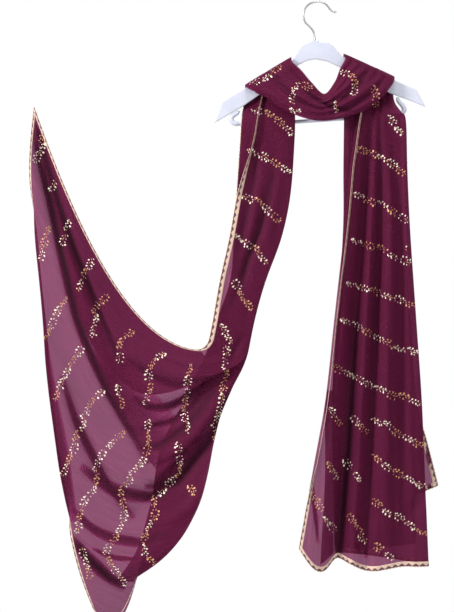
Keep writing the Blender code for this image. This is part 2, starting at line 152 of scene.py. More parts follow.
print("camera distance %.2f m" % make_camera())

# %% Surround, floor and lights
HANGING_HEIGHT = 1.75
FLOOR_RADIUS = 3.2
SURROUND_GLOW = 0.38
LIGHTS = [
    #  name      place                  size  power
    ("key",     (-2.9, -1.5, 0.7),      0.7, 125.0),
    ("fill",    (1.6, -3.0, 0.2),       2.0,  33.0),
    ("top",     (0.2, -0.9, 2.0),       1.0,  40.0),
    ("back",    (0.6, 2.8, 0.2),        2.0,  30.0),
]


def make_surround():
    """A white surround that the camera sees at full white and that lights the cloth more gently."""
    world = bpy.data.worlds.new("surround")
    world.use_nodes = True
    bpy.context.scene.world = world
    shade = Shade(world.node_tree)
    seen = shade.node("ShaderNodeLightPath")
    strength = SURROUND_GLOW + (1 - SURROUND_GLOW) * seen
    background = world.node_tree.nodes["Background"]
    background.inputs["Color"].default_value = (1, 1, 1, 1)
    world.node_tree.links.new(strength.socket, background.inputs["Strength"])


def make_floor():
    bpy.ops.mesh.primitive_circle_add(vertices=96, radius=FLOOR_RADIUS, fill_type="NGON",
                                      location=(0, 0, -HANGING_HEIGHT))
    floor = bpy.context.object
    floor.name = "floor"
    material = bpy.data.materials.new("floor")
    material.use_nodes = True
    shader = material.node_tree.nodes["Principled BSDF"]
    shader.inputs["Base Color"].default_value = (0.86, 0.86, 0.87, 1)
    shader.inputs["Roughness"].default_value = 0.8
    floor.data.materials.append(material)


def make_lights():
    aim = Vector((PICTURE["centre_x"], 0, PICTURE["centre_z"]))
    for name, place, size, power in LIGHTS:
        data = bpy.data.lights.new(name, "AREA")
        data.size = size
        data.energy = power
        light = bpy.data.objects.new(name, data)
        bpy.context.scene.collection.objects.link(light)
        light.location = place
        light.rotation_euler = (aim - Vector(place)).to_track_quat("-Z", "Y").to_euler()


make_surround()
make_floor()
make_lights()
bpy.context.scene.view_settings.view_transform = "Standard"
print("lights:", [row[0] for row in LIGHTS])

# %% [markdown]
# ## Georgette
#
# Georgette is woven from hard-twisted yarns, so it is sheer, matt and slightly pebbled. Two ways to make it
# are a coloured transparent shader, which loses all shading, and plain alpha, which turns the cloth grey over
# a white wall. Here a matt wine-red shader is mixed with a transparent one that is tinted, because light that
# passes the cloth is coloured by it. The pebble and the weave come from noise that runs with the cloth's own
# threads, since every piece carries its length and width as a map. Each wall of cloth has two faces, and the
# mix allows for both.
#
# Deep in a narrow fold the real cloth lies three or four times over itself and hardly any light gets in. The
# walls here can't fold that tightly, so each point also carries how deep in a fold it lies. There the cloth
# is closer, as stacked layers would be, and its colour is darkened as painted shade.

# %% Georgette
WINE = (0.092, 0.0066, 0.034)
WINE_LIGHT = (0.128, 0.0115, 0.050)
# The darkest wine is painted shade, for cloth that lies deep in a narrow fold.
WINE_IN_PAINTED_FOLD_SHADE = (0.016, 0.0014, 0.0065)
PASSED_LIGHT = (0.975, 0.65, 0.84)
LAYER_COVER = 0.825
FACE_COVER = 1 - math.sqrt(1 - LAYER_COVER)
PEBBLE = {"scale": 420.0, "height": 0.00035, "stretch": 0.45}
WEAVE = {"scale": 1500.0, "height": 0.00012}
SLUB = {"scale": 160.0, "stretch": 0.12}
UNEVEN_COVER = {"slub": 0.16, "pebble": 0.10, "fold": 0.30}
# The attribute with each point's depth in a fold, and how far it darkens the colour there as painted shade.
FOLD_SHADE, PAINTED_FOLD_SHADE_STRENGTH = "fold_shade", 0.95
FADE_AT_ENDS = 0.16


def new_material(name):
    material = bpy.data.materials.new(name)
    material.use_nodes = True
    shader = material.node_tree.nodes["Principled BSDF"]
    return material, Shade(material.node_tree), shader


def feed(material, shader, **sockets):
    """Sets or links the shader's sockets: Base_Color stands for Base Color."""
    for name, value in sockets.items():
        socket = shader.inputs[name.replace("_", " ")]
        if isinstance(value, Shade):
            material.node_tree.links.new(value.socket, socket)
        else:
            socket.default_value = (*value, 1.0) if isinstance(value, tuple) else value


def threads(shade, along=1.0):
    """The cloth's own length and width in metres, with the length stretched."""
    place = shade.node("ShaderNodeUVMap")
    return shade.node("ShaderNodeVectorMath", {0: place, 1: (along, 1.0, 1.0)}, operation="MULTIPLY")


def georgette(name, fades=None):
    """The cloth. Its cover can fade out at both ends, and towards one long border of its map or both."""
    material, shade, shader = new_material(name)
    pebble = shade.noise(threads(shade, along=PEBBLE["stretch"]), PEBBLE["scale"])
    weave = shade.noise(threads(shade), WEAVE["scale"], detail=1.0)
    slub = shade.noise(threads(shade, along=SLUB["stretch"]), SLUB["scale"])
    # Deep in a fold the cover closes, as stacked layers would, and the colour darkens as painted shade.
    fold_cover_and_painted_shade = shade.node("ShaderNodeAttribute", output=2, attribute_name=FOLD_SHADE)
    wine = pebble.between(0.35, 0.75).mix(WINE, WINE_LIGHT)
    feed(material, shader, Base_Color=(fold_cover_and_painted_shade * PAINTED_FOLD_SHADE_STRENGTH).mix(wine, WINE_IN_PAINTED_FOLD_SHADE),
         Roughness=0.62 + 0.12 * weave,
         Normal=shade.bump(pebble * PEBBLE["height"] + weave * WEAVE["height"], 0.6),
         Sheen_Weight=0.12, Sheen_Roughness=0.4, Sheen_Tint=(0.9, 0.18, 0.44), Specular_IOR_Level=0.10)
    cover = FACE_COVER + UNEVEN_COVER["slub"] * (slub - 0.5) + UNEVEN_COVER["pebble"] * (pebble - 0.5)
    cover = cover + UNEVEN_COVER["fold"] * fold_cover_and_painted_shade
    if fades:
        along, across = shade.node("ShaderNodeUVMap").parts()
        near_both = (across * (1 - across) * 4.0).between(0.0, 1.0)
        side = near_both if fades == "both" else (1 - across).between(0.0, 0.7)
        cover = cover * side * (along * (1 - along)).between(0.0, FADE_AT_ENDS)
    passed = shade.node("ShaderNodeBsdfTransparent", {"Color": colour(PASSED_LIGHT)})
    matt = Shade(shade.tree, shader.outputs[0])
    surface = shade.node("ShaderNodeMixShader", {0: cover, 1: passed, 2: matt})
    output = material.node_tree.nodes["Material Output"]
    material.node_tree.links.new(surface.socket, output.inputs["Surface"])
    return material


GEORGETTE = georgette("georgette")
# Cloth for the tucks, fading out towards both long borders: pinched cloth and painted shade along a fold.
PINCHED_AND_SHADING = georgette("pinched_shading_georgette", fades="both")
RETURNED = georgette("returned_georgette", fades="far")
print("one face covers %.2f of what is behind it" % FACE_COVER)

# %% [markdown]
# ## Foil, lace and hanger
#
# The vines are stamped in thin metal foil. Its bright and dark leaves are two finishes of that foil,
# white-gold as painted highlight and copper as painted shade, by turns, and a fine noise dims each in patches
# so that it shows painted glints. The lace is a woven band of pinkish gold yarn with dark teeth between its
# picots. The hanger is pale blue-grey moulded plastic with a wire hook.

# %% Foil and lace
# Two finishes of one foil: white-gold where it catches the light, as painted highlight, and copper as painted
# shade.
FOILS = {"gold_in_painted_highlight": ((1.0, 0.88, 0.70), 0.32), "copper_in_painted_shade": ((0.70, 0.37, 0.18), 0.38)}
LACE_REPEAT, LACE_WIDTH = 0.0068, 0.009
TOOTH_HEIGHT, TOOTH_ROOT, TOOTH_BLUR = 0.0044, 0.0012, 0.0004
LACE_GOLD, LACE_LIGHT_GOLD, LACE_DARK = (0.50, 0.33, 0.25), (0.80, 0.62, 0.50), (0.10, 0.03, 0.04)


def foil(name):
    tint, roughness = FOILS[name]
    material, shade, shader = new_material("foil_" + name)
    grain = shade.noise(shade.node("ShaderNodeTexCoord", output="Object"), 260.0)
    # A fine noise dims the tint in patches, painting glints that come and go over each leaf.
    tint_without_painted_glint = tuple(0.42 * c for c in tint)
    feed(material, shader, Base_Color=grain.between(0.36, 0.58).mix(tint_without_painted_glint, tint), Metallic=0.25,
         Roughness=roughness + 0.25 * grain)
    return material


def lace():
    """Gold yarn, with a row of dark teeth worked out from the band's own length and width."""
    material, shade, shader = new_material("gold_lace")
    along, across = shade.node("ShaderNodeUVMap").parts()
    tooth = shade.node("ShaderNodeMath", {0: along, 1: LACE_REPEAT}, operation="PINGPONG")
    teeth = (tooth * (TOOTH_HEIGHT / LACE_REPEAT) + TOOTH_ROOT - across).between(-TOOTH_BLUR, TOOTH_BLUR)
    dark = teeth * across.between(-0.5 * TOOTH_BLUR, 1.5 * TOOTH_BLUR)
    yarn = shade.noise(threads(shade), 1100.0)
    gold = yarn.between(0.3, 0.7).mix(LACE_GOLD, LACE_LIGHT_GOLD)
    feed(material, shader, Base_Color=dark.mix(gold, LACE_DARK), Metallic=0.35 * (1 - dark),
         Roughness=0.42 + 0.2 * yarn, Normal=shade.bump(yarn * 0.0004 - dark * 0.0005, 0.8))
    return material


FOIL_PAINTED_HIGHLIGHT, FOIL_PAINTED_SHADE, LACE = foil("gold_in_painted_highlight"), foil("copper_in_painted_shade"), lace()
print("lace repeat %.1f mm" % (LACE_REPEAT * 1000))

# %% Plastic and steel
MOULDED, MOULDED_LIGHT, SCUFFED = (0.50, 0.52, 0.62), (0.56, 0.58, 0.68), (0.55, 0.58, 0.68)
WIRE, WIRE_LIGHT = (0.42, 0.42, 0.45), (0.62, 0.62, 0.66)


def plastic():
    material, shade, shader = new_material("pale_plastic")
    place = shade.node("ShaderNodeTexCoord", output="Object")
    grain = shade.noise(place, 700.0)
    scuffs = shade.noise(place, 90.0, detail=6.0).between(0.62, 0.72)
    body = shade.noise(place, 18.0, detail=3.0).between(0.3, 0.7).mix(MOULDED, MOULDED_LIGHT)
    feed(material, shader, Base_Color=(scuffs * 0.35).mix(body, SCUFFED),
         Roughness=0.34 + 0.12 * grain + 0.15 * scuffs, Normal=shade.bump(grain * 0.00006, 0.7))
    return material


def steel():
    material, shade, shader = new_material("bright_wire")
    drawn = shade.noise(shade.node("ShaderNodeTexCoord", output="Object"), 500.0, detail=3.0)
    feed(material, shader, Base_Color=drawn.between(0.3, 0.7).mix(WIRE, WIRE_LIGHT), Metallic=1.0,
         Roughness=0.22 + 0.18 * drawn)
    return material


PLASTIC, STEEL = plastic(), steel()
print("materials:", sorted(m.name for m in bpy.data.materials))

# %% [markdown]
# ## Walls of cloth
#
# A sheet of cloth is a smooth surface worked out from rails that run along it, and a fine grid of its points
# becomes a thin closed wall. Solidify could thicken an open sheet too, but building the wall from the grid
# keeps its map of length and width, and lets lace and foil be set on the same points.

# %% Helpers for points
MM = 0.001
CLOTH = 0.35 * MM


def smooth_step(low, high, value):
    t = np.clip((np.asarray(value, dtype=float) - low) / (high - low), 0.0, 1.0)
    return t * t * (3.0 - 2.0 * t)


def through(points, t):
    """Points at t, from 0 to 1, on a smooth curve through the given points."""
    points = np.asarray(points, dtype=float)
    padded = np.concatenate([[2 * points[0] - points[1]], points, [2 * points[-1] - points[-2]]])
    place = np.clip(np.asarray(t, dtype=float), 0.0, 1.0) * (len(points) - 1)
    first = np.minimum(place.astype(int), len(points) - 2)
    f = (place - first)[:, None]
    a, b, c, d = (padded[first + k] for k in range(4))
    return 0.5 * (2 * b + (c - a) * f + (2 * a - 5 * b + 4 * c - d) * f ** 2
                  + (3 * b - a - 3 * c + d) * f ** 3)


def even_steps(points, count):
    """The same curve at equal steps of its own length."""
    reach = np.concatenate([[0.0], np.cumsum(np.linalg.norm(np.diff(points, axis=0), axis=1))])
    wanted = np.linspace(0.0, reach[-1], count)
    return np.stack([np.interp(wanted, reach, points[:, k]) for k in range(points.shape[1])], axis=1)


def soften(points, reach):
    """The curve with its corners rounded over the given length, its ends kept."""
    step = np.linalg.norm(np.diff(points, axis=0), axis=1).mean()
    half = max(1, int(round(reach / step)))
    soft = points.copy()
    for i in range(1, len(points) - 1):
        h = min(half, i, len(points) - 1 - i)
        soft[i] = points[i - h:i + h + 1].mean(axis=0)
    return soft


def unit(vectors):
    return vectors / np.maximum(np.linalg.norm(vectors, axis=-1, keepdims=True), 1e-12)


def lengths(points, axis):
    """Distance walked along a grid of points, from 0 at its first row or column."""
    steps = np.linalg.norm(np.diff(points, axis=axis), axis=-1)
    start = np.zeros_like(np.take(steps, [0], axis=axis))
    return np.concatenate([start, np.cumsum(steps, axis=axis)], axis=axis)


def wave(value, seed):
    """An uneven ripple from -1 to 1: a few sines whose rhythms never agree."""
    shifts = 2.4 * seed + np.array([0.0, 1.7, 4.1])
    return (np.sin(value + shifts[0]) + 0.6 * np.sin(1.73 * value + shifts[1])
            + 0.4 * np.sin(2.91 * value + shifts[2])) / 2.0


print("cloth wall %.2f mm" % (CLOTH / MM))

# %% Sheets of cloth
# Steps inwards from the cut end along u and from a long edge along s, and the most of them that are taken.
END_STEP, SIDE_STEP, MOST_STEPS = -0.004, 0.2, 6


class Sheet:
    """A cloth surface: u runs along the rails from 0 to 1, s across them from 0 to the last rail."""

    def __init__(self, rails, creases):
        self.rails = np.asarray(rails, dtype=float)
        self.last = len(self.rails) - 1
        self.creases = creases

    def plain(self, u, s):
        """Points of the smooth cloth: a spline across the rails, which doesn't pass through them exactly."""
        u, s = np.broadcast_arrays(np.asarray(u, dtype=float), np.asarray(s, dtype=float))
        padded = np.concatenate([[2 * self.rails[0] - self.rails[1]], self.rails,
                                 [2 * self.rails[-1] - self.rails[-2]]])
        steps = padded.shape[1] - 1
        along = np.clip(u, 0.0, 1.0) * steps
        row = np.minimum(along.astype(int), steps - 1)
        g = (along - row)[..., None]
        first = np.minimum(np.clip(s, 0.0, self.last).astype(int), self.last - 1)
        f = (s - first)[..., None]
        weights = ((1 - f) ** 3, 3 * f ** 3 - 6 * f ** 2 + 4, -3 * f ** 3 + 3 * f ** 2 + 3 * f + 1, f ** 3)
        return sum(w * (padded[first + k, row] * (1 - g) + padded[first + k, row + 1] * g)
                   for k, w in enumerate(weights)) / 6.0

    def at(self, u, s):
        """Points of the cloth with its creases, which move it forwards and back."""
        points = self.plain(u, s)
        points[..., 1] += self.creases(points, np.broadcast_to(u, points.shape[:-1]),
                                       np.broadcast_to(s, points.shape[:-1]) / self.last)
        return points

    def in_from(self, u, s, distance, end):
        """A point on the cloth a real distance in from an edge: a long edge, or the cut end."""
        edge = self.at(u, s)
        step_u, step_s = (END_STEP, 0.0) if end else (0.0, SIDE_STEP if np.all(s == 0) else -SIDE_STEP)
        near = self.at(u + step_u, s + step_s) - edge
        steps = np.minimum(np.maximum(distance, 0) / np.linalg.norm(near, axis=-1), MOST_STEPS)
        outside = np.minimum(distance, 0)[..., None]
        return self.at(u + step_u * steps, s + step_s * steps) + unit(near) * outside


print("a band of lace reaches %.0f mm in from an edge" % (LACE_WIDTH / MM))

# %% Drawn creases
# The dark core of a fold as a share of its width, and the depths where its shade sets in and is full.
FOLD_CORE, SHADED_FROM, SHADED_FULLY = 0.65, 4.0, 9.0


def near_creases(points, creases):
    """For each drawn line: its width, its depth, the squared distance to it and how strong it is there."""
    x, z = points[..., 0] / MM, points[..., 2] / MM
    for line, width, depth, _ in creases:
        line = np.asarray(line, dtype=float)
        total = len(line) - 1
        nearest = np.full(x.shape, 1e9)
        strength = np.zeros_like(x)
        for k in range(total):
            a, b = line[k], line[k + 1]
            along = b - a
            t = np.clip(((x - a[0]) * along[0] + (z - a[1]) * along[1]) / (along @ along), 0, 1)
            away = (x - a[0] - t * along[0]) ** 2 + (z - a[1] - t * along[1]) ** 2
            closer = away < nearest
            nearest = np.where(closer, away, nearest)
            place = (k + t) / total
            strength = np.where(closer, np.sin(math.pi * np.clip(place, 0.0, 1.0)), strength)
        yield width, depth, nearest, strength


def crease_depth(points, creases):
    """How far the cloth moves back at each point: soft troughs (+) and ridges (-) along drawn lines."""
    return MM * sum(depth * strength * np.exp(-nearest / width ** 2)
                    for width, depth, nearest, strength in near_creases(points, creases))


# The georgette reads this value and darkens its colour by it as painted shade.
def fold_shade(points, creases):
    """From 0 to 1, how deep each point lies in a narrow fold, where light hardly gets in."""
    shade = np.zeros(points.shape[:-1])
    for width, depth, nearest, strength in near_creases(points, creases):
        deep = np.clip((depth - SHADED_FROM) / (SHADED_FULLY - SHADED_FROM), 0.0, 1.0)
        shade = np.maximum(shade, deep * strength ** 0.3 * np.exp(-nearest / (FOLD_CORE * width) ** 2))
    return shade


print("folds are shaded from %.0f mm deep" % SHADED_FROM)

# %% Walls and dressing


def grid_normals(grid):
    """The direction straight out of the cloth at each point of a grid."""
    along = np.zeros_like(grid)
    along[1:-1] = unit(grid[2:] - grid[1:-1]) + unit(grid[1:-1] - grid[:-2])
    along[0] = grid[1] - grid[0]
    along[-1] = grid[-1] - grid[-2]
    across = np.zeros_like(grid)
    across[:, 1:-1] = unit(grid[:, 2:] - grid[:, 1:-1]) + unit(grid[:, 1:-1] - grid[:, :-2])
    across[:, 0] = grid[:, 1] - grid[:, 0]
    across[:, -1] = grid[:, -1] - grid[:, -2]
    return unit(np.cross(along, across))


def new_piece(name, points, faces, materials, uv=None, stands_for=(), shade=None):
    """A smooth mesh that rides on the hanger, takes a node's finish and may stand for nodes."""
    mesh = bpy.data.meshes.new(name)
    mesh.from_pydata(np.asarray(points).tolist(), [], faces)
    mesh.update()
    for material in materials:
        mesh.materials.append(material)
    if uv is not None:
        corners = np.zeros(len(mesh.loops), dtype=np.int32)
        mesh.loops.foreach_get("vertex_index", corners)
        layer = mesh.uv_layers.new(name="UVMap")
        layer.data.foreach_set("uv", np.asarray(uv, dtype=np.float32)[corners].ravel())
    if shade is not None:
        mesh.attributes.new(FOLD_SHADE, "FLOAT", "POINT").data.foreach_set("value", np.float32(shade))
    mesh.shade_smooth()
    piece = bpy.data.objects.new(name, mesh)
    bpy.context.scene.collection.objects.link(piece)
    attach(piece, "root")
    if stands_for:
        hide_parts(*stands_for)
    return piece


def wall(name, grid, thickness, material, stands_for=(), place=None, shade=None):
    """A thin closed wall round a grid of points, mapped by its real length and width if no map is given."""
    rows, columns = grid.shape[:2]
    offset = grid_normals(grid) * thickness / 2
    points = np.concatenate([(grid + offset).reshape(-1, 3), (grid - offset).reshape(-1, 3)])
    index = np.arange(rows * columns).reshape(rows, columns)
    quads = np.stack([index[:-1, :-1], index[1:, :-1], index[1:, 1:], index[:-1, 1:]], axis=-1).reshape(-1, 4)
    back = rows * columns
    rim = np.concatenate([index[:, 0], index[-1, 1:], index[-2::-1, -1], index[0, -2:0:-1]])
    after = np.roll(rim, -1)
    edge = np.stack([after, rim, rim + back, after + back], axis=-1)
    faces = np.concatenate([quads, quads[:, ::-1] + back, edge]).tolist()
    if place is None:
        place = np.stack([lengths(grid, 0), lengths(grid, 1)], axis=-1)
    place = np.reshape(place, (-1, 2))
    both = None if shade is None else np.tile(shade.ravel(), 2)
    return new_piece(name, points, faces, [material], np.concatenate([place, place]), stands_for, both)


print("both faces of a wall let %.2f of the light through" % ((1 - FACE_COVER) ** 2))

# %% [markdown]
# ## The hanger's arms and bar
#
# The cloth follows the arms of the hanger, so their lines are needed first: the top edge and the foot of the
# arms, and the bar below them. The left end hangs lower than the right one.

# %% Lines of the hanger
BEHIND_ARM, BEFORE_BAR = 7.5, -7.0
ARM_TOP = [(-197, -225), (-183, -191), (-47, -109), (47, -103), (188, -167), (206, -195)]
ARM_FOOT = [(-197, -230), (-142, -198), (-108, -174), (-72, -149), (-36, -119), (-4, -108), (39, -122),
            (91, -149), (138, -173), (184, -190), (206, -199)]
BAR_MIDDLE_Z, BAR_SLOPE = -225, 0.065


def arm_top(x):
    """Height of the arms' top edge, in millimetres."""
    return np.interp(x, *zip(*ARM_TOP))


def arm_foot(x):
    return np.interp(x, *zip(*ARM_FOOT))


def bar_line(x):
    return BAR_MIDDLE_Z + BAR_SLOPE * x


print("arm tips %d mm apart" % (ARM_TOP[-1][0] - ARM_TOP[0][0]))

# %% [markdown]
# ## The left tail
#
# On the real stole the left tail is gathered over the arm into a strip of several layers, passes behind the
# arm and before the bar, and fans out from a knot of pleats to its held end. Cloth simulation could drop such
# a sheet, but it would need the pins of the photograph anyway and would not land on the same folds. So the
# tail is drawn: each rail is a real thread, hung as a parabola of the right length between the gather and the
# held end, and pleats come from moving the rails forwards and back.

# %% Left tail: sizes
# Millimetres, and shares of the way across the cloth for FROM, TO, EASE and LOWER_FOLD.
RAIL_STEPS, FLAP_STEPS = 240, 8
LEFT_LAYERS, LAYER_PITCH = 6, 2.7
FAN_LENGTH, LOW_EDGE_SLACK, LOW_EDGE_FROM = 600.0, 25.0, 0.94
BACK_FOLD_REACH, BACK_FOLD_DEPTH, BACK_FOLD_FROM = 70.0, 17.0, 0.84
TURNED_EDGE, TURNED_ROUND = 29.0, 4.0
TURNED_FROM, TURNED_TO, TURN_EASE = 0.20, 0.80, 0.08
FAN_DEPTH, FAN_RIPPLE, PLEAT_SPREAD = -12.0, 13.0, 2.0
CORNER_SMOOTHING = 22.0
LOWER_FOLD = (0.68, 0.82, 0.87, 0.95)
# How far the lower fold leaves a plain hanging line: place along the rail, and millimetres to the right.
LOWER_BULGE = [(0.0, 0), (0.04, -9), (0.11, -15), (0.18, -6), (0.24, 6), (0.33, 21), (0.47, 32), (0.60, 36),
               (0.75, 20), (0.90, 0), (1.0, 0)]
LEFT_BAR_Z = -228.0
LEFT_FALL = [
    #  z     lace   left  right  depth of the first layer
    (-362, -152, -149, -55, -23),
    (-450, -168, -155, -73, -23),
    (-530, -186, -161, -103, -23),
    (-605, -199, -187, -124, -23),
]
LEFT_FOOT = {"left": np.array([-211.0, -664.0]), "right": np.array([-134.0, -682.0])}
LEFT_ARM_X = [(-104, -45), (-112, -43), (-124, -42)]
LEFT_ARM_X_BEHIND = [(-137, -45), (-141, -43), (-146, -42)]
LEFT_END = [(-541, -199), (-550, -292), (-545, -400), (-534, -509), (-524, -610), (-517, -711),
            (-505, -811), (-490, -915), (-473, -1010), (-451, -1100), (-427, -1160)]
print("held end %.0f mm long" % lengths(np.array(LEFT_END, dtype=float), 0)[-1])

# %% Left tail: the strip of layers


def left_controls():
    """One entry for each rail: place across the cloth, layer, and place between the left and right folds."""
    rails = []
    for layer in range(LEFT_LAYERS):
        first = 0.0 if layer == 0 else 0.06
        final = 1.0 if layer == LEFT_LAYERS - 1 else 0.94
        for part, side in ((first, 0.0), (0.34, 0.33), (0.66, 0.67), (final, 1.0)):
            rails.append(((layer + part) / LEFT_LAYERS, layer, side if layer % 2 == 0 else 1.0 - side))
    return rails


def hanging(start, end, length, count=60):
    """A cord of the given length hung between two points, as a parabola in a vertical plane."""
    t = np.linspace(0.0, 1.0, count)[:, None]
    low, high = 0.0, 2.0 * length
    for _ in range(40):
        sag = (low + high) / 2
        path = start + (end - start) * t - np.array([0.0, 0.0, 4.0 * sag]) * t * (1 - t)
        if np.linalg.norm(np.diff(path, axis=0), axis=1).sum() < length:
            low = sag
        else:
            high = sag
    return path


def left_end(v):
    """The point of the held end at v, where its length is shared out evenly."""
    x, z = even_steps(through(LEFT_END, np.linspace(0, 1, 80)), 200)[int(round(v * 199))]
    return np.array([x, FAN_DEPTH, z])


def left_strip(layer, side):
    """The stretch of a rail from inside the roll on the arm down to the gather."""
    depth = layer * LAYER_PITCH
    before = BEFORE_BAR - (LEFT_LAYERS - 1 - layer) * LAYER_PITCH
    top_x, foot_x, bar_x = (left + (right - left) * side for left, right in
                            (LEFT_ARM_X if layer == 0 else LEFT_ARM_X_BEHIND))
    behind = BEHIND_ARM + depth
    path = [(top_x, behind, arm_top(top_x) - 11),
            (foot_x, behind, arm_foot(foot_x) - 1.5),
            (0.6 * foot_x + 0.4 * bar_x, 0.45 * behind + 0.55 * before,
             0.45 * arm_foot(foot_x) + 0.55 * (LEFT_BAR_Z + 5)),
            (bar_x, before, LEFT_BAR_Z + 3),
            (bar_x, before - 1, LEFT_BAR_Z - 14)]
    for z, lace_x, left, right, first in LEFT_FALL:
        if layer == 0:
            x = lace_x + (right + 5 - lace_x) * side
        else:
            x = left - 5 + (right - left + 10) * side
        path.append((x, first + depth, z))
    foot = LEFT_FOOT["left"] * (1 - side) + LEFT_FOOT["right"] * side
    start = np.array([foot[0], -23 + depth, foot[1]])
    return through(path + [tuple(start)], np.linspace(0, 1, 160)), start


print("rails of the left tail:", len(left_controls()))

# %% Left tail: the fan


def left_fan(v, layer, side, start, turned):
    """A rail from the gather to where the held end is turned, and the direction in which it gets there."""
    outline = left_end(v)
    length = FAN_LENGTH + LOW_EDGE_SLACK * smooth_step(LOW_EDGE_FROM, 1.0, v)
    trial = hanging(start, outline, length)
    outward = unit((trial[-1] - trial[-4]) * (1, 0, 1))
    turn = TURNED_EDGE * (1 - turned) + TURNED_ROUND * turned
    fan = hanging(start, outline - outward * turn, length - TURNED_EDGE)
    t = np.linspace(0.0, 1.0, len(fan))
    opened = smooth_step(0.12, 0.60, t)
    spread = (layer - (LEFT_LAYERS - 1) / 2) * PLEAT_SPREAD * smooth_step(0.0, 0.15, t)
    ridge = math.cos(math.pi * (layer + (side if layer % 2 == 0 else 1 - side)))
    ripple = FAN_RIPPLE * ridge * smooth_step(0.0, 0.18, t) * (1 - 0.45 * t)
    fan[:, 1] = (start[1] + spread) * (1 - opened) + FAN_DEPTH * opened + ripple
    back = BACK_FOLD_DEPTH * smooth_step(BACK_FOLD_FROM, 0.93, v) * smooth_step(0, 0.12, t)
    fan[:, 1] += back * (1 - smooth_step(0.72, 1, t))
    reach = BACK_FOLD_REACH * smooth_step(BACK_FOLD_FROM, 1.0, v) * smooth_step(0, 0.2, t)
    fan[:, 0] -= reach * np.clip(1 - t / 0.95, 0, 1)
    lower_fold = smooth_step(*LOWER_FOLD[:2], v) * (1 - smooth_step(*LOWER_FOLD[2:], v))
    fan[:, 0] += lower_fold * np.interp(t, *zip(*LOWER_BULGE))
    return fan, outward


def turned_flap(last, outward, turned):
    """The held end past the fan: flat where turned is 0, bent right round behind the fan where it is 1."""
    angle = math.pi * turned
    flap = [last]
    for q in np.linspace(0, TURNED_EDGE, 12)[1:]:
        bent = min(q / TURNED_ROUND, angle)
        straight = q - bent * TURNED_ROUND
        out = (TURNED_ROUND * math.sin(bent) if bent > 1e-6 else 0.0) + straight * math.cos(angle)
        behind = TURNED_ROUND * (1 - math.cos(bent)) + straight * math.sin(angle)
        flap.append(last + outward * out + np.array([0.0, behind, 0.0]))
    return even_steps(np.array(flap), FLAP_STEPS + 1)[1:]


def left_rail(v, layer, side):
    """One rail of the left tail, from inside the roll on the arm to the held end, in millimetres."""
    turned = smooth_step(TURNED_FROM - TURN_EASE, TURNED_FROM + TURN_EASE, v)
    turned -= smooth_step(TURNED_TO - TURN_EASE, TURNED_TO + TURN_EASE, v)
    strip, start = left_strip(layer, side)
    fan, outward = left_fan(v, layer, side, start, turned)
    main = soften(even_steps(np.concatenate([strip, fan[1:]]), RAIL_STEPS), CORNER_SMOOTHING)
    return np.concatenate([main, turned_flap(fan[-1], outward, turned)])


left_rails = [left_rail(*row) for row in left_controls()]
print("first rail %.0f mm long" % lengths(left_rails[0], 0)[-1])

# %% [markdown]
# The creases are drawn in the cloth's own sizes. Two deep folds fall from the held corner, a swag
# crosses the lower half, and short wrinkles crowd round the gather. All layers move together, so the cloth
# behind keeps its distance. The deepest lines also set the fold shade that the georgette reads.

# %% Left tail: creases
LEFT_CREASES = [
    #  line in x and z                                                                width  depth  tuck
    ([(-540, -240), (-532, -297), (-505, -406), (-459, -604), (-400, -745), (-322, -879)], 12, 11, 9),
    ([(-540, -225), (-524, -280), (-495, -380), (-463, -474), (-420, -580), (-370, -700)], 9, 10, 8),
    ([(-500, -400), (-473, -472), (-444, -568), (-415, -654), (-393, -721), (-360, -785)], 18, -7, 17),
    ([(-528, -340), (-495, -470), (-450, -640), (-400, -800)], 20, -6, 0),
    ([(-488, -713), (-466, -782), (-450, -822), (-424, -874), (-400, -921), (-350, -985)], 15, 7.5, 9),
    ([(-471, -1019), (-438, -1059), (-398, -1097), (-366, -1118)], 13, 9, 14),
    ([(-452, -885), (-387, -931), (-320, -944), (-285, -930)], 16, 7, 15),
    ([(-430, -860), (-380, -900), (-320, -915), (-260, -880)], 15, -6, 0),
    ([(-366, -677), (-320, -709), (-266, -730), (-200, -712)], 9, 6, 7),
    ([(-352, -753), (-320, -772), (-280, -769), (-205, -728)], 10, 7, 9),
    ([(-360, -715), (-310, -745), (-240, -750), (-180, -706)], 9, -5, 0),
    ([(-330, -810), (-280, -800), (-242, -776), (-190, -720)], 9, 6, 8),
    ([(-345, -850), (-300, -845), (-250, -810), (-195, -735)], 12, 7, 10),
    ([(-330, -925), (-270, -915), (-210, -840), (-160, -740)], 14, 8, 10),
    ([(-300, -1000), (-240, -960), (-190, -880)], 13, -6, 0),
    ([(-468, -965), (-431, -1002), (-389, -1022), (-326, -1030), (-285, -1010)], 11, 6, 11),
    ([(-430, -1040), (-390, -1058), (-339, -1061)], 9, 4, 6),
    ([(-522, -640), (-514, -711), (-504, -778), (-489, -855), (-476, -931), (-463, -990)], 14, 5, 15),
    ([(-79, -297), (-98, -389), (-117, -448), (-135, -495), (-148, -540), (-170, -585)], 8, 8, 8),
    ([(-118, -262), (-122, -340), (-140, -430), (-160, -520)], 8, 6, 7),
    ([(-139, -629), (-156, -662), (-171, -692)], 7, 5, 5),
    ([(-62, -250), (-74, -340), (-92, -430), (-112, -500)], 10, -4, 0),
    ([(-100, -250), (-108, -340), (-130, -450), (-150, -530)], 8, -4, 0),
]
GATHER = {"x": -170.0, "z": -672.0, "reach": 230.0, "height": 3.6}


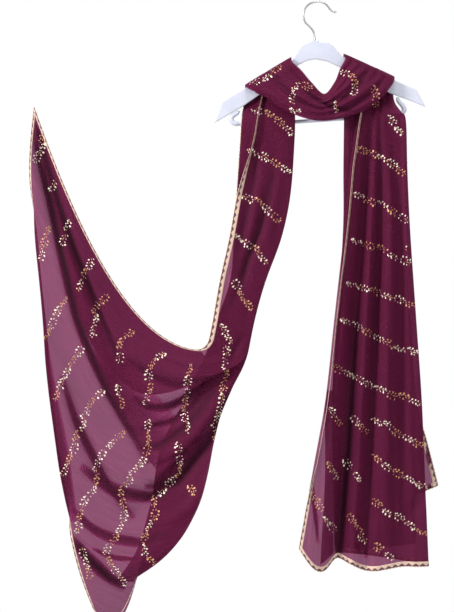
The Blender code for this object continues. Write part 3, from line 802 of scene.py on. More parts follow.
def left_creases(points, u, v):
    moved = crease_depth(points, LEFT_CREASES)
    x, z = points[..., 0] / MM, points[..., 2] / MM
    away = np.hypot(x - GATHER["x"], z - GATHER["z"])
    fan = smooth_step(-640, -720, z) + (1 - smooth_step(-260, -210, x))
    rays = wave(46 * v, 1) * np.exp(-((away - 60) / GATHER["reach"]) ** 2) * np.clip(fan, 0, 1)
    strip = 0.9 * wave(x / 5.5 + z / 160, 2) * smooth_step(-250, -330, z) * smooth_step(-700, -600, z)
    swags = 1.1 * wave((z + 0.25 * x) / 17, 3) * (1 - smooth_step(-480, -260, x)) * smooth_step(-560, -700, z)
    hem = 1 - smooth_step(0.955, 1.0, u)
    return moved * hem + (GATHER["height"] * rays + strip * np.clip(1 - fan, 0, 1) + swags * hem) * MM


left = Sheet(np.array(left_rails) * MM, left_creases)
LEFT_U = np.concatenate([np.linspace(0, 0.5, 110, endpoint=False),
                         np.linspace(0.5, 0.955, 120, endpoint=False), np.linspace(0.955, 1.0, 22)])
LEFT_S = np.linspace(0, left.last, 6 * left.last + 1)
left_grid = left.at(LEFT_U[:, None], LEFT_S[None, :])
left_tail = wall("left_tail_cloth", left_grid, CLOTH, GEORGETTE, ("left_tail",),
                 shade=fold_shade(left_grid, LEFT_CREASES))
print("left tail grid:", left_grid.shape[:2])

# %% [markdown]
# ## The right tail
#
# The right tail hangs straight from the arm to its hem, pleated lengthwise, with the rest of its width folded
# behind. Here each row of the table is a ridge, a valley or a fold of the real cloth, with its place at the
# arm, hip, knee and hem.

# %% Right tail: sizes
HIP_Z, KNEE_Z = -434, -759
RIGHT_BEHIND_ARM, RIGHT_BEFORE_BAR = 5.3, -5.6
RIGHT_STACK, STACK_SQUEEZE, BAR_STEPS = 19.5, 0.95, 36
RIGHT_RAILS = [
    # name           stack   arm   hip  knee   hem  hem z   hip y  knee y  hem y
    ("lace edge",      1.0,   76,   50,   14,  -36, -1040,   -20,   -22,   -26),
    ("ridge a",        0.0,   91,   66,   29,  -12, -1080,   -24,   -28,   -34),
    ("flank a",        3.0,   98,   76,   42,   14, -1090,   -16,   -18,   -20),
    ("valley a",       6.0,  103,   86,   54,   34, -1054,    -8,    -2,     4),
    ("flank b",        3.0,  107,   95,   68,   52, -1066,   -16,   -14,   -12),
    ("ridge b",        0.0,  112,  106,   82,   68, -1072,   -24,   -28,   -32),
    ("valley b",       6.0,  118,  121,  104,   86, -1084,    -8,    -4,     2),
    ("ridge c",        0.5,  122,  133,  122,  108, -1084,   -22,   -26,   -28),
    ("flank c",        2.0,  127,  144,  139,  131, -1080,   -20,   -20,   -22),
    ("valley c",       3.5,  133,  156,  159,  161, -1074,   -12,   -12,   -12),
    ("ridge d",        3.0,  139,  166,  179,  187, -1076,   -16,   -16,   -16),
    ("right fold 1",   3.5,  146,  177,  200,  214, -1075,   -12,   -12,   -12),
    ("right fold 2",   9.5,  146,  177,  200,  213, -1075,    -6,    -4,    -2),
    ("back a",        10.0,   97,  112,  112,  120, -1056,    -5,    -2,     2),
    ("left fold 1",   10.0,   48,   46,   24,   28, -1048,    -5,    -4,     0),
    ("left fold 2",   13.0,   48,   46,   24,   30, -1048,     1,     4,     8),
    ("back b",        13.5,   95,  108,  108,  110, -1044,     2,     6,    12),
    ("right fold 3",  13.0,  141,  168,  182,  192, -1032,     1,     4,     8),
    ("right fold 4",  16.0,  141,  168,  182,  192, -1032,     7,    12,    18),
    ("back c",        16.5,   98,  112,  112,  115, -1010,     8,    14,    22),
    ("left fold 3",   16.0,   56,   58,   50,   62, -1000,     6,    11,    18),
    ("left fold 4",   19.0,   56,   58,   50,   62, -1000,    14,    22,    31),
    ("back d",        19.5,   98,  115,  128,  150,  -958,    14,    22,    30),
    ("back edge",     19.5,  136,  166,  190,  232,  -924,    13,    20,    24),
]
RIGHT_CREASES = [
    #  line in x and z                                              width  depth  tuck
    ([(98, -225), (84, -420), (68, -700)], 9, 6, 9),
    ([(76, -560), (68, -700), (58, -868), (50, -950), (41, -1045), (36, -1150)], 13, 10, 9),
    ([(121, -225), (116, -453), (102, -797), (92, -1060)], 8, 7, 8),
    ([(150, -260), (160, -560), (160, -800), (166, -1000)], 8, 5, 6),
    ([(108, -240), (100, -430), (82, -770), (66, -1050)], 8, -4, 0),
    ([(136, -260), (138, -560), (132, -800), (130, -1040)], 9, -4, 0),
    ([(66, -300), (50, -520), (34, -760), (14, -960)], 7, -3, 0),
    ([(-14, -900), (-4, -985), (0, -1030)], 8, 5, 5),
    ([(150, -1010), (190, -960), (212, -930)], 12, 4, 0),
    ([(60, -990), (110, -1010), (160, -1000)], 14, -3, 0),
]
EDGE_BULGE = {"from": 132, "to": 144, "by": (0, 0, 3, 12, 18, 7, 0, 0, 0, 0, 0)}
print("rails of the right tail:", len(RIGHT_RAILS))

# %% Right tail: cloth


def right_rail(name, stack, arm, hip, knee, hem, hem_z, hip_y, knee_y, hem_y):
    """One rail of the right tail, from inside the roll on the arm to the hem, in millimetres."""
    behind = RIGHT_BEHIND_ARM + STACK_SQUEEZE * stack
    before = RIGHT_BEFORE_BAR - STACK_SQUEEZE * (RIGHT_STACK - stack)
    bar = bar_line(arm)
    path = [(arm, behind, arm_top(arm) - 11),
            (arm, behind, arm_foot(arm) - 1.5),
            (arm, 0.45 * behind + 0.55 * before, 0.45 * arm_foot(arm) + 0.55 * (bar + 7)),
            (arm + 0.05 * (hip - arm), before, bar + 5),
            (arm + 0.15 * (hip - arm), before - 1, bar - 12),
            (arm + 0.60 * (hip - arm), 0.4 * before + 0.6 * hip_y, -320),
            (hip, hip_y, HIP_Z),
            (0.5 * (hip + knee), 0.5 * (hip_y + knee_y), 0.5 * (HIP_Z + KNEE_Z)),
            (knee, knee_y, KNEE_Z),
            (0.5 * (knee + hem), 0.5 * (knee_y + hem_y), 0.5 * (KNEE_Z + hem_z)),
            (hem, hem_y, hem_z)]
    bulge = smooth_step(EDGE_BULGE["from"], EDGE_BULGE["to"], arm)
    path = [(x + bulge * by, y, z) for (x, y, z), by in zip(path, EDGE_BULGE["by"])]
    route = through(path, np.linspace(0, 1, 201))
    over_bar = even_steps(route[:81], BAR_STEPS)
    below = even_steps(route[80:], RAIL_STEPS - BAR_STEPS + 1)
    return np.concatenate([over_bar, below[1:]])


def right_creases(points, u, v):
    x, z = points[..., 0] / MM, points[..., 2] / MM
    below_bar = smooth_step(-240, -330, z)
    pleats = 1.5 * wave(x / 6.5 + z / 260, 5) + 0.6 * wave(x / 14.0 - z / 90, 6)
    return crease_depth(points, RIGHT_CREASES) * below_bar + pleats * below_bar * MM


right = Sheet([right_rail(*row) * MM for row in RIGHT_RAILS], right_creases)
RIGHT_U = np.concatenate([np.linspace(0, 0.15, 40, endpoint=False), np.linspace(0.15, 1.0, 150)])
RIGHT_S = np.linspace(0, right.last, 8 * right.last + 1)
right_grid = right.at(RIGHT_U[:, None], RIGHT_S[None, :])
right_tail = wall("right_tail_cloth", right_grid, CLOTH, GEORGETTE, ("right_tail",),
                  shade=fold_shade(right_grid, RIGHT_CREASES))
print("right tail grid:", right_grid.shape[:2])

# %% [markdown]
# ## The cowl
#
# The middle of the stole is carried in front of the hanger like a cowl collar, in soft folds that meet at a
# dip, and its lower edge is turned under. Each end rolls over an arm and covers the tops of the tails. Rails
# run from one arm to the other, and each rail's pleat value pushes it out or in.

# %% Cowl
COWL_STATIONS = [
    #  name              neck x  y  z       middle x  y  z      lowest x  y  z
    ("left front",      (-48, -16, -115),  (-90, -19, -137),  (-131, -18, -167)),
    ("left lobe",       (-32, -17, -130),  (-64, -30, -152),  (-96, -28, -183)),
    ("left of middle",  (-12, -20, -154),  (-34, -43, -176),  (-54, -39, -213)),
    ("middle",          (12, -22, -176),   (8, -50, -198),    (6, -42, -229)),
    ("right of middle", (32, -20, -153),   (52, -44, -172),   (74, -40, -215)),
    ("right lobe",      (42, -17, -128),   (76, -31, -148),   (117, -29, -188)),
    ("right front",     (52, -16, -109),   (97, -19, -131),   (143, -18, -156)),
]
COWL_ROLL = [(1, 7), (22, 1), (30, -23)]
COWL_ENDS = [
    #  x at the neck, from there to the outer edge, and how far the back of the roll is drawn in
    (-50, -88, 2.0),
    (50, 97, 2.3),
]
COWL_PLEATS = [0, -4, 4, -5, 4, -6, 3, -3, 6, -5, 4, -4, 0]
COWL_CREASES = [
    #  line in x and z                                          width  depth  tuck
    ([(-60, -112), (-44, -136), (-18, -170), (10, -188)], 6, 3, 0),
    ([(62, -108), (50, -134), (28, -168), (6, -190)], 6, 3, 0),
    ([(-30, -166), (-8, -186), (24, -202), (84, -214)], 5, 8, 6),
    ([(-96, -132), (-70, -158), (-34, -192), (20, -212)], 7, 6, 6),
    ([(100, -128), (80, -156), (50, -184), (12, -200)], 6, 6, 5),
    ([(-112, -150), (-84, -178), (-40, -208), (6, -220)], 6, -4, 0),
    ([(126, -150), (104, -176), (60, -204), (20, -216)], 6, 5, 5),
    ([(30, -120), (44, -150), (30, -176), (4, -196)], 5, -3, 0),
    ([(-124, -166), (-96, -186), (-66, -204)], 6, 4, 4),
]


def bend(neck, middle, lowest, f):
    """The point at f on the smooth curve through three points."""
    return neck * 2 * (f - 0.5) * (f - 1) + middle * 4 * f * (1 - f) + lowest * 2 * f * (f - 0.5)


def cowl_rail(f, pleat):
    front = [bend(*(np.array(p, dtype=float) for p in station[1:]), f) for station in COWL_STATIONS]
    for i, point in enumerate(front):
        point[1] += pleat * math.sin(math.pi * (i + 1) / (len(front) + 1)) ** 0.7
    rolls = []
    for neck_x, outward, drawn_in in COWL_ENDS:
        x = neck_x + outward * f
        top = arm_top(x) + 0.2 * abs(pleat)
        rolls.append([np.array([x, y - drawn_in * (y > 1) + 0.25 * abs(pleat), top + up])
                      for y, up in COWL_ROLL])
    path = rolls[0][::-1] + front + rolls[1]
    return even_steps(through(path, np.linspace(0, 1, 200)), RAIL_STEPS)


def cowl_creases(points, u, v):
    x = points[..., 0] / MM
    front = smooth_step(-6, -16, points[..., 1] / MM)
    soft = 0.5 * wave(17 * v + x / 40, 7) + 0.2 * wave(70 * v - x / 25, 8)
    return (crease_depth(points, COWL_CREASES) + soft * MM) * front


last_pleat = len(COWL_PLEATS) - 1
cowl = Sheet([cowl_rail(i / last_pleat, pleat) * MM for i, pleat in enumerate(COWL_PLEATS)], cowl_creases)
COWL_U = np.linspace(0, 1, 220)
COWL_S = np.linspace(0, cowl.last, 10 * cowl.last + 1)
cowl_grid = cowl.at(COWL_U[:, None], COWL_S[None, :])
neck_cowl = wall("cowl_cloth", cowl_grid, CLOTH, GEORGETTE, ("neck_cowl",),
                 shade=fold_shade(cowl_grid, COWL_CREASES))
print("cowl grid:", cowl_grid.shape[:2])

# %% [markdown]
# ## Lace
#
# A narrow band of lace is sewn over each edge. It follows the cloth's own points, and its outer edge is a row
# of small scallops. A flat strip with a picture of lace would lose those scallops against the light. Where
# the cloth's edge turns away, the band is tilted until it is seen edge-on, as a thin line.

# %% Lace
LACE_THICK, SCALLOP, LACE_STEP = 0.9 * MM, 1.4 * MM, LACE_REPEAT / 7
LACE_ACROSS = np.array([-1.0, 0.0, 0.30, 0.62, 0.85, 1.0])
LACE_RAISE = np.array([0.3, 1.0, 0.7, 0.9, 1.1, 0.5])


def lace_band(name, sheet, u, s, end, node, tilt):
    """A scalloped band along an edge, given by the u and s of its points and turned edge-on by the tilt."""
    along = lengths(sheet.at(u, s), 0)
    scallop = SCALLOP * np.abs(np.sin(math.pi * along / LACE_REPEAT)) ** 0.6
    grid = np.stack([sheet.in_from(u, s, LACE_WIDTH * max(place, 0.0) - scallop * (place < 0), end)
                     for place in LACE_ACROSS], axis=1)
    inner, turned = grid[:, -1:], tilt[:, None, None]
    reach = np.linalg.norm(grid - inner, axis=-1, keepdims=True)
    grid = inner + (grid - inner) * np.cos(turned) - np.array([0.0, 1.0, 0.0]) * reach * np.sin(turned)
    width = np.where(LACE_ACROSS < 0, -0.15, LACE_ACROSS) * LACE_WIDTH
    place = np.stack(np.broadcast_arrays(along[:, None], width), axis=-1)
    return wall(name, grid, LACE_THICK * LACE_RAISE[:, None], LACE, (node,), place)


def along_edge(sheet, s):
    """Even steps along a long edge, fine enough for the scallops."""
    length = lengths(sheet.at(np.linspace(0, 1, 400), np.full(400, s)), 0)[-1]
    count = int(length / LACE_STEP)
    return np.linspace(0.0, 1.0, count), np.full(count, float(s))


def along_end(sheet):
    """Even steps along the cut end."""
    fine = np.linspace(0, sheet.last, 1200)
    walked = lengths(sheet.at(np.ones(1200), fine), 0)
    count = int(walked[-1] / LACE_STEP)
    return np.ones(count), np.interp(np.linspace(0, walked[-1], count), walked, fine)


LACE_TILT = {
    #  angle in degrees at places along the edge
    "left_side_lace": [(0.0, 76), (0.13, 76), (0.22, 0)],
    "left_back_lace": [(0.0, 0), (0.78, 0), (0.86, 85), (1.0, 85)],
    "right_side_lace": [(0.0, 70), (0.55, 70), (0.66, 86), (0.82, 86), (0.93, 0)],
}
FLAT = [(0.0, 0)]
dressing = {"left_tail": [], "right_tail": [], "neck_cowl": []}
for tail, sheet in (("left", left), ("right", right)):
    edges = {"side": along_edge(sheet, 0), "back": along_edge(sheet, sheet.last), "end": along_end(sheet)}
    for part, (u, s) in edges.items():
        node = "%s_%s_lace" % (tail, part)
        tilt = np.radians(np.interp(u, *zip(*LACE_TILT.get(node, FLAT))))
        dressing[tail + "_tail"].append(lace_band(node + "_band", sheet, u, s, part == "end", node, tilt))
        print(node, "points along:", len(u))

# %% [markdown]
# ## Second layers
#
# A single layer of this cloth looks lilac against white and a double one dark wine, so where the real cloth
# is folded behind itself a second layer has to be there. Such layers lie behind the fan's upper part and its
# lower right part, behind the right tail's lobe and inside the cowl. Narrow tucks lie behind the deep folds,
# where the cloth is pinched together; they fade out all round, so they also lay soft bands of painted shade
# along the folds. Rays find the front of the cloth, and each layer is laid just behind.

# %% Layers behind the front
REACH = 0.3
LAYER_ROWS, LAYER_COLUMNS, LAYER_TRIES = 90, 14, 31
TUCK_ROWS, TUCK_BEHIND = 60, 1.3 * MM


def surface_tree(*pieces):
    """All faces of several pieces as one tree for rays."""
    points, faces = [], []
    for piece in pieces:
        first = len(points)
        points.extend(v.co.copy() for v in piece.data.vertices)
        faces.extend([first + i for i in face.vertices] for face in piece.data.polygons)
    return BVHTree.FromPolygons(points, faces)


def seen_at(tree, x, z, from_front, layer=0):
    """Place and normal of the cloth at x and z from the front or the back: the first layer or a later one."""
    direction = Vector((0, 1 if from_front else -1, 0))
    start = Vector((x, -REACH if from_front else REACH, z))
    for _ in range(2 * layer + 1):
        place, normal, _, _ = tree.ray_cast(start, direction)
        if place is None:
            return None, None
        start = place + direction * 0.00005
    return np.array(place), np.array(normal if normal.dot(direction) < 0 else -normal)


def layer_behind(name, tree, first_line, second_line, behind, material=GEORGETTE):
    """A layer of cloth between two lines in x and z, behind what is seen in front and never beyond it."""
    lines = [even_steps(through(np.array(line, dtype=float) * MM, np.linspace(0, 1, 300)), LAYER_ROWS)
             for line in (first_line, second_line)]
    rows, places = [], []
    for i, (first, second) in enumerate(zip(*lines)):
        inside = [f for f in np.linspace(0, 1, LAYER_TRIES)
                  if seen_at(tree, *(first * (1 - f) + second * f), True)[0] is not None]
        if len(inside) < 4:
            continue
        row, across = [], np.linspace(inside[0] + 0.02, inside[-1] - 0.02, LAYER_COLUMNS)
        for f in across:
            x, z = first * (1 - f) + second * f
            front, _ = seen_at(tree, x, z, True)
            after, _ = seen_at(tree, x, z, True, layer=1)
            if front is None:
                y = row[-1][1] if row else 0.0
            else:
                y = front[1] + (behind if after is None else min(behind, 0.5 * (after[1] - front[1])))
            row.append((x, y, z))
        rows.append(row)
        places.append([(i / (LAYER_ROWS - 1), f) for f in across])
    return wall(name, np.array(rows), CLOTH, material, place=None if material == GEORGETTE else places)


def shading_tuck(name, tree, line, half_width):
    """A narrow pinch of cloth behind a fold, fading out all round into a soft band of painted shade."""
    path = even_steps(through(np.array(line, dtype=float), np.linspace(0, 1, 200)), TUCK_ROWS)
    along = unit(np.gradient(path, axis=0))
    beside = np.stack([-along[:, 1], along[:, 0]], axis=1)
    width = half_width * (0.45 + 0.55 * np.sin(math.pi * np.linspace(0, 1, TUCK_ROWS)))[:, None]
    return layer_behind(name, tree, path - beside * width, path + beside * width, TUCK_BEHIND, PINCHED_AND_SHADING)


print("rays start %.1f m away" % REACH)

# %% Layers and tucks
UPPER_FAN = left.at(np.linspace(0.935, 0.48, 40), 0.10)[:, ::2] / MM
FOLD_A = [(-538, -234), (-507, -406), (-469, -560), (-425, -664), (-352, -742), (-280, -745), (-190, -705)]
ZONES = [
    #  name, node, how far behind the front, cloth, and then the first and the second line in x and z
    ("upper_fan_second_layer", "left_tail", 3.5, GEORGETTE, UPPER_FAN, FOLD_A),
    ("fold_a_return", "left_tail", 2.6, RETURNED,
     [(-432, -670), (-398, -740), (-375, -786), (-347, -839), (-300, -905)],
     [(-360, -670), (-326, -730), (-290, -765), (-262, -806), (-250, -850)]),
    ("low_fan_return", "left_tail", 2.6, GEORGETTE,
     [(-256, -845), (-300, -900), (-322, -960), (-345, -1040), (-385, -1105)],
     [(-160, -790), (-175, -880), (-195, -960), (-240, -1040), (-300, -1110)]),
    ("lobe_fold", "right_tail", 2.0, GEORGETTE,
     [(12, -740), (13, -830), (13, -900), (9, -980), (4, -1072)],
     [(36, -740), (34, -800), (31, -900), (31, -1000), (31, -1052)]),
]
COWL_LAYER_DEPTHS = (2.2, 4.0)
front_tree = surface_tree(left_tail, right_tail, neck_cowl)
for name, node, behind, cloth, first, second in ZONES:
    dressing[node].append(layer_behind(name, front_tree, first, second, behind * MM, cloth))
for k, depth in enumerate(COWL_LAYER_DEPTHS):
    across = np.linspace(0.3, cowl.last - 0.25 - k, 90)
    inner = cowl.at(np.linspace(0.14, 0.86, 120)[:, None], across[None, :])
    inner[..., 1] += depth * MM
    dressing["neck_cowl"].append(wall("cowl_layer_%d" % (k + 2), inner, CLOTH, GEORGETTE))
for part, node, creases in (("left", "left_tail", LEFT_CREASES), ("right", "right_tail", RIGHT_CREASES),
                            ("cowl", "neck_cowl", COWL_CREASES)):
    for k, (line, _, _, half_width) in enumerate(creases):
        if half_width:
            dressing[node].append(shading_tuck("%s_tuck_%d" % (part, k), front_tree, line, half_width))
print("pieces on each sheet:", {node: len(pieces) for node, pieces in dressing.items()})

# %% [markdown]
# ## Foil vines
#
# The printed vines run in slanting rows over the whole cloth, about 80 mm apart. Each sprig is a stem of long
# leaves, mostly copper, with small buds beside it, white-gold or copper by turns; the white-gold is painted
# highlight on the foil and the copper painted shade. A painted texture would be blurred from near, so every
# leaf is a tiny flat shape laid on the cloth where a ray meets it. The print goes through thin cloth, so each
# leaf has a twin on the other face. A few short rows lie on the layer behind, where they glimmer through.

# %% Rows of vines
FAN_VINES = [
    [(-519, -249), (-536, -306)],
    [(-499, -335), (-511, -366)],
    [(-511, -427), (-530, -495)],
    [(-469, -413), (-492, -466)],
    [(-480, -560), (-500, -600), (-520, -644)],
    [(-431, -488), (-454, -552)],
    [(-450, -654), (-478, -706), (-501, -762)],
    [(-400, -556), (-419, -580), (-427, -640)],
    [(-406, -740), (-432, -764), (-457, -828), (-488, -904)],
    [(-349, -625), (-373, -646), (-381, -690)],
    [(-379, -727), (-370, -776)],
    [(-370, -816), (-415, -868), (-425, -914), (-452, -973), (-457, -1013)],
    [(-289, -669), (-316, -686), (-320, -730), (-328, -769)],
    [(-324, -795), (-326, -858), (-371, -927), (-370, -982), (-398, -1042), (-398, -1068), (-364, -1114)],
    [(-242, -690), (-251, -759), (-249, -822)],
    [(-265, -837), (-266, -900), (-307, -940), (-310, -970), (-333, -1038), (-307, -1072)],
    [(-177, -654), (-175, -702), (-182, -749), (-200, -835)],
    [(-247, -915), (-228, -940)],
    [(-448, -1040), (-434, -1099)],
]
STRIP_VINES = [
    [(-125, -199), (-90, -218), (-47, -253)],
    [(-135, -282), (-100, -297), (-53, -329)],
    [(-142, -368), (-110, -384), (-72, -419)],
    [(-161, -444), (-130, -464), (-95, -497)],
    [(-163, -530), (-145, -560), (-125, -587)],
    [(-186, -616), (-163, -650)],
]
RIGHT_VINES = [
    [(129, -220), (165, -253)],
    [(72, -282), (120, -296), (167, -329)],
    [(66, -368), (120, -386), (173, -419)],
    [(62, -453), (120, -472), (177, -501)],
    [(53, -536), (120, -556), (186, -583)],
    [(43, -602), (115, -640), (190, -673)],
    [(28, -692), (110, -735), (196, -765)],
    [(20, -774), (47, -809)],
    [(64, -788), (94, -824)],
    [(104, -792), (155, -822), (200, -847)],
    [(20, -877), (35, -910)],
    [(51, -868), (85, -914)],
    [(-12, -937), (8, -967)],
    [(10, -982), (34, -1008)],
    [(56, -975), (94, -1030)],
    [(100, -864), (155, -900), (209, -925)],
    [(100, -950), (155, -984), (209, -1017)],
    [(104, -1032), (148, -1062)],
]
COWL_VINES = [
    [(-128, -162), (-68, -123)],
    [(-47, -198), (-49, -177), (-34, -158), (-12, -170)],
    [(42, -136), (58, -138), (70, -159), (70, -180)],
    [(35, -192), (35, -213)],
    [(103, -163), (110, -180), (108, -200)],
    [(-56, -207), (-32, -213)],
]
STRIP_GLIMMERS = [
    [(-100, -226), (-70, -274)],
    [(-124, -316), (-92, -352)],
    [(-130, -420), (-98, -448)],
    [(-150, -500), (-120, -530)],
]
RIGHT_GLIMMERS = [
    [(94, -232), (108, -268)],
    [(90, -300), (106, -332)],
    [(133, -262), (146, -300)],
    [(104, -410), (150, -436)],
    [(84, -496), (130, -524)],
    [(116, -606), (160, -628)],
    [(90, -672), (140, -700)],
]
VINE_PITCH = 82


def slanting_rows(left_x, right_x, first_z, count):
    """Evenly spaced rows, for the side of the cloth that the photo doesn't show."""
    return [[(left_x, z), (0.5 * (left_x + right_x), z - 22), (right_x, z - 46)]
            for z in first_z - VINE_PITCH * np.arange(count)]


STRIP_BACK_VINES = slanting_rows(-150, -60, -270, 4)
RIGHT_BACK_VINES = slanting_rows(68, 170, -262, 9)
print("rows in front:", sum(map(len, (FAN_VINES, STRIP_VINES, RIGHT_VINES, COWL_VINES))))

# %% Sprigs of foil
SPRIG = 23.5
STEM_LEAVES = 4
LEAVES = [
    #  along across  turn  length width, with the leaves of the stem first
    (-8.6, 0.3,     8,   6.2,  1.0),
    (-2.2, -0.4,  -10,   6.6,  1.0),
    (4.4, 0.5,      9,   6.4,  1.0),
    (9.6, -0.2,    -6,   4.6,  1.0),
    (-10.4, 2.6,   60,   3.4,  2.0),
    (-7.6, 3.8,    85,   3.6,  2.6),
    (-6.4, -2.6,  -50,   3.2,  2.0),
    (-3.6, 2.4,    55,   3.2,  1.9),
    (-1.4, 5.0,    80,   3.6,  2.8),
    (0.2, -3.0,   -80,   3.4,  2.4),
    (3.0, 3.0,     65,   3.2,  2.0),
    (5.6, -2.6,   -60,   3.2,  2.1),
    (7.4, 4.4,     85,   3.6,  2.7),
    (10.2, 2.2,    50,   3.0,  1.9),
]
LEAF_SHAPE = np.array([(-0.5, 0.0), (-0.2, 0.42), (0.2, 0.5), (0.5, 0.0), (0.2, -0.5), (-0.2, -0.42)])
FOIL_LIFT, EDGE_ON = 0.10 * MM, 0.25


def sprig_places(line):
    """Middle and direction of each sprig on a row, wavering a little."""
    line = np.array(line, dtype=float)
    dense = through(line, np.linspace(0, 1, 200))
    total = np.linalg.norm(np.diff(dense, axis=0), axis=1).sum()
    count = max(1, int(round(total / SPRIG)))
    path = even_steps(dense, 2 * count + 1)
    for k in range(1, 2 * count, 2):
        yield path[k], unit(path[k + 1] - path[k - 1])


def sprig_leaves(turn, seed, middle, along):
    """The leaves of a sprig, a bit uneven: place and direction in x and z, length, width, foil in painted
    light or shade.
    """
    flip = -1 if math.sin(3.7 * turn + seed) < 0 else 1
    # Each sprig's foil is the white-gold of painted highlight or the copper of painted shade.
    lit_or_shaded_foil = 0 if math.sin(1.9 * turn + 2.2 * math.sin(0.37 * turn + seed)) > -0.35 else 1
    beside = np.array([-along[1], along[0]]) * flip
    spread = 1.3 + 0.35 * math.sin(2.3 * turn)
    aside = 1.5 * math.sin(0.9 * turn)
    for k, (reach, across, angle, length, width) in enumerate(LEAVES):
        if math.sin(4.3 * k + 1.3 * turn) > 0.82:
            continue
        stem = k < STEM_LEAVES
        size = 1.0 + 0.3 * math.sin(1.7 * k + 2.9 * turn)
        turned = math.radians(angle)
        yield (middle + along * reach + beside * (across * spread + aside),
               math.cos(turned) * along + math.sin(turned) * beside,
               length * size * (0.9 if stem else 1.2), width * size * 1.08,
               1 if stem and math.sin(5.1 * turn + k) > -0.5 else lit_or_shaded_foil)


def print_vines(name, tree, rows, from_front, layers, seed):
    """Foil leaves laid on the cloth along rows drawn in x and z, each with a twin on the other face."""
    points, faces, lit_or_shaded_foils = [], [], []
    sprigs = [(layer, *sprig) for layer in layers for line in rows for sprig in sprig_places(line)]
    for turn, (layer, middle, along) in enumerate(sprigs, start=1):
        for spot, toward, length, width, lit_or_shaded_foil in sprig_leaves(turn, seed, middle, along):
            place, normal = seen_at(tree, *(spot * MM), from_front, layer)
            if place is None or abs(normal[1]) < EDGE_ON:
                continue
            forward = unit(np.cross(np.cross(normal, (toward[0], 0, toward[1])), normal))
            sideways = np.cross(normal, forward)
            leaf = (LEAF_SHAPE[:, :1] * length * forward + LEAF_SHAPE[:, 1:] * width * sideways) * MM
            for lift, order in ((FOIL_LIFT, 1), (-FOIL_LIFT - CLOTH, -1)):
                first = len(points)
                points.extend(place + leaf + lift * normal)
                faces.append(list(range(first, first + len(LEAF_SHAPE)))[::order])
                lit_or_shaded_foils.append(lit_or_shaded_foil)
    piece = new_piece(name, points, faces, [FOIL_PAINTED_HIGHLIGHT, FOIL_PAINTED_SHADE])
    piece.data.polygons.foreach_set("material_index", lit_or_shaded_foils)
    print(name, "leaves:", len(faces))
    return piece


PRINTS = [
    #  name               rows               front   layers   node          seed
    ("fan_vines",         FAN_VINES,         True,   (0,),    "left_tail",  1.0),
    ("strip_vines",       STRIP_VINES,       True,   (0,),    "left_tail",  2.0),
    ("right_vines",       RIGHT_VINES,       True,   (0,),    "right_tail", 3.0),
    ("strip_glimmers",    STRIP_GLIMMERS,    True,   (1,),    "left_tail",  7.0),
    ("right_glimmers",    RIGHT_GLIMMERS,    True,   (1,),    "right_tail", 8.0),
    ("cowl_vines",        COWL_VINES,        True,   (0,),    "neck_cowl",  4.0),
    ("strip_back_vines",  STRIP_BACK_VINES,  False,  (0, 2),  "left_tail",  5.0),
    ("right_back_vines",  RIGHT_BACK_VINES,  False,  (0, 2),  "right_tail", 6.0),
]
for name, rows, from_front, layers, node, seed in PRINTS:
    dressing[node].append(print_vines(name, front_tree, rows, from_front, layers, seed))

# %% [markdown]
# ## Hanger
#
# The moulded body keeps its solid. The bar with its end loops and the wire hook are drawn again as finer
# round tubes along the same routes, and the hook's tip ends in a small ball.

# %% Bar and hook
BAR_ROUTE = [(-150, -206.3), (-153, -211), (-159, -214.5), (-164.3, -219.5), (-163, -227), (-155.5, -231),
             (-140, -231.5), (-100, -231), (0, -225), (100, -218), (150, -214.5), (160.5, -211.5),
             (165.5, -205), (163, -197.5), (158, -192), (154.3, -187.5), (152.5, -181.2)]
HOOK_ROUTE = [(-5.3, -72.3), (-5.6, -66), (-8, -55), (-15, -46), (-22.7, -38.5), (-26.9, -25.2), (-24, -12.5),
              (-14.5, -2.2), (0, 1.8), (11.5, -0.8), (18.5, -6), (23.5, -12.5), (29, -17), (36, -18)]
BAR_RADIUS, LOOP_EXTRA, WIRE_RADIUS, BALL_RADIUS = 3.6 * MM, 1.4 * MM, 1.8 * MM, 2.6 * MM
LOOP_FROM, LOOP_FULL = 148 * MM, 156 * MM
BAR_POINTS, HOOK_POINTS, TUBE_SIDES = 220, 160, 20
END_TAPER, END_FADE = 0.35, 30


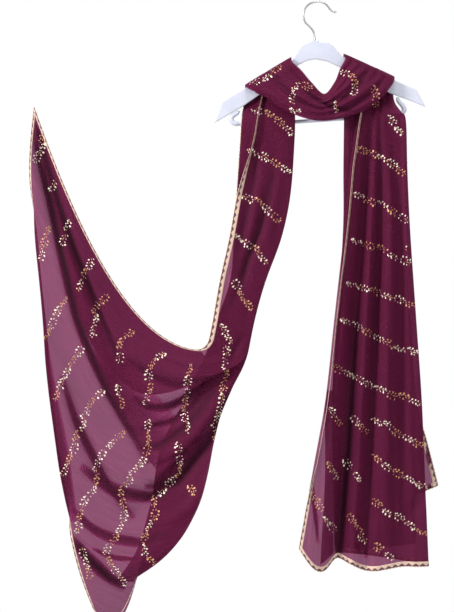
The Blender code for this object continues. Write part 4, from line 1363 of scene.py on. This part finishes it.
def tube(name, path, radii, material, node):
    """A closed round tube along a route in the hanger's plane, with its ends rounded off by the radii."""
    sides, count = TUBE_SIDES, len(path)
    along = unit(np.gradient(path, axis=0))
    up = np.array([0.0, 1.0, 0.0])
    beside = np.cross(along, up)
    turn = np.linspace(0, 2 * math.pi, sides, endpoint=False)
    rings = (path[:, None] + np.asarray(radii)[:, None, None]
             * (np.cos(turn)[None, :, None] * beside[:, None] + np.sin(turn)[None, :, None] * up))
    index = np.arange(count * sides).reshape(count, sides)
    after = np.roll(index, -1, axis=1)
    quads = np.stack([index[:-1], after[:-1], after[1:], index[1:]], axis=-1).reshape(-1, 4)
    faces = quads.tolist() + [index[0, ::-1].tolist(), index[-1].tolist()]
    return new_piece(name, rings.reshape(-1, 3), faces, [material], stands_for=(node,))


def flat_route(points, count):
    """A smooth route in the hanger's plane through points given as x and z in millimetres."""
    return even_steps(through(np.array([(x, 0, z) for x, z in points]) * MM, np.linspace(0, 1, 600)), count)


bar_path = flat_route(BAR_ROUTE, BAR_POINTS)
from_end = np.linspace(0, END_FADE, BAR_POINTS)
bar_ends = 1 - END_TAPER * (np.exp(-from_end) + np.exp(-from_end[::-1]))
bar_radii = (BAR_RADIUS + LOOP_EXTRA * smooth_step(LOOP_FROM, LOOP_FULL, np.abs(bar_path[:, 0]))) * bar_ends
tube("trouser_bar_tube", bar_path, bar_radii, PLASTIC, "trouser_bar")
hook_path = flat_route(HOOK_ROUTE, HOOK_POINTS)
from_tip = np.linalg.norm(hook_path - (hook_path[-1] - np.array([BALL_RADIUS, 0, 0])), axis=1)
ball = np.sqrt(np.clip(BALL_RADIUS ** 2 - from_tip ** 2, 0, None))
hook_radii = np.maximum(ball, WIRE_RADIUS * (from_tip > BALL_RADIUS * 0.7))
hook_radii[-1] = 0.2 * WIRE_RADIUS
tube("hook_wire", hook_path, hook_radii, STEEL, "hook")

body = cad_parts["hanger_body"]
body.data.materials.clear()
body.data.materials.append(PLASTIC)
print("bar length %.0f mm" % (lengths(bar_path, 0)[-1] / MM))
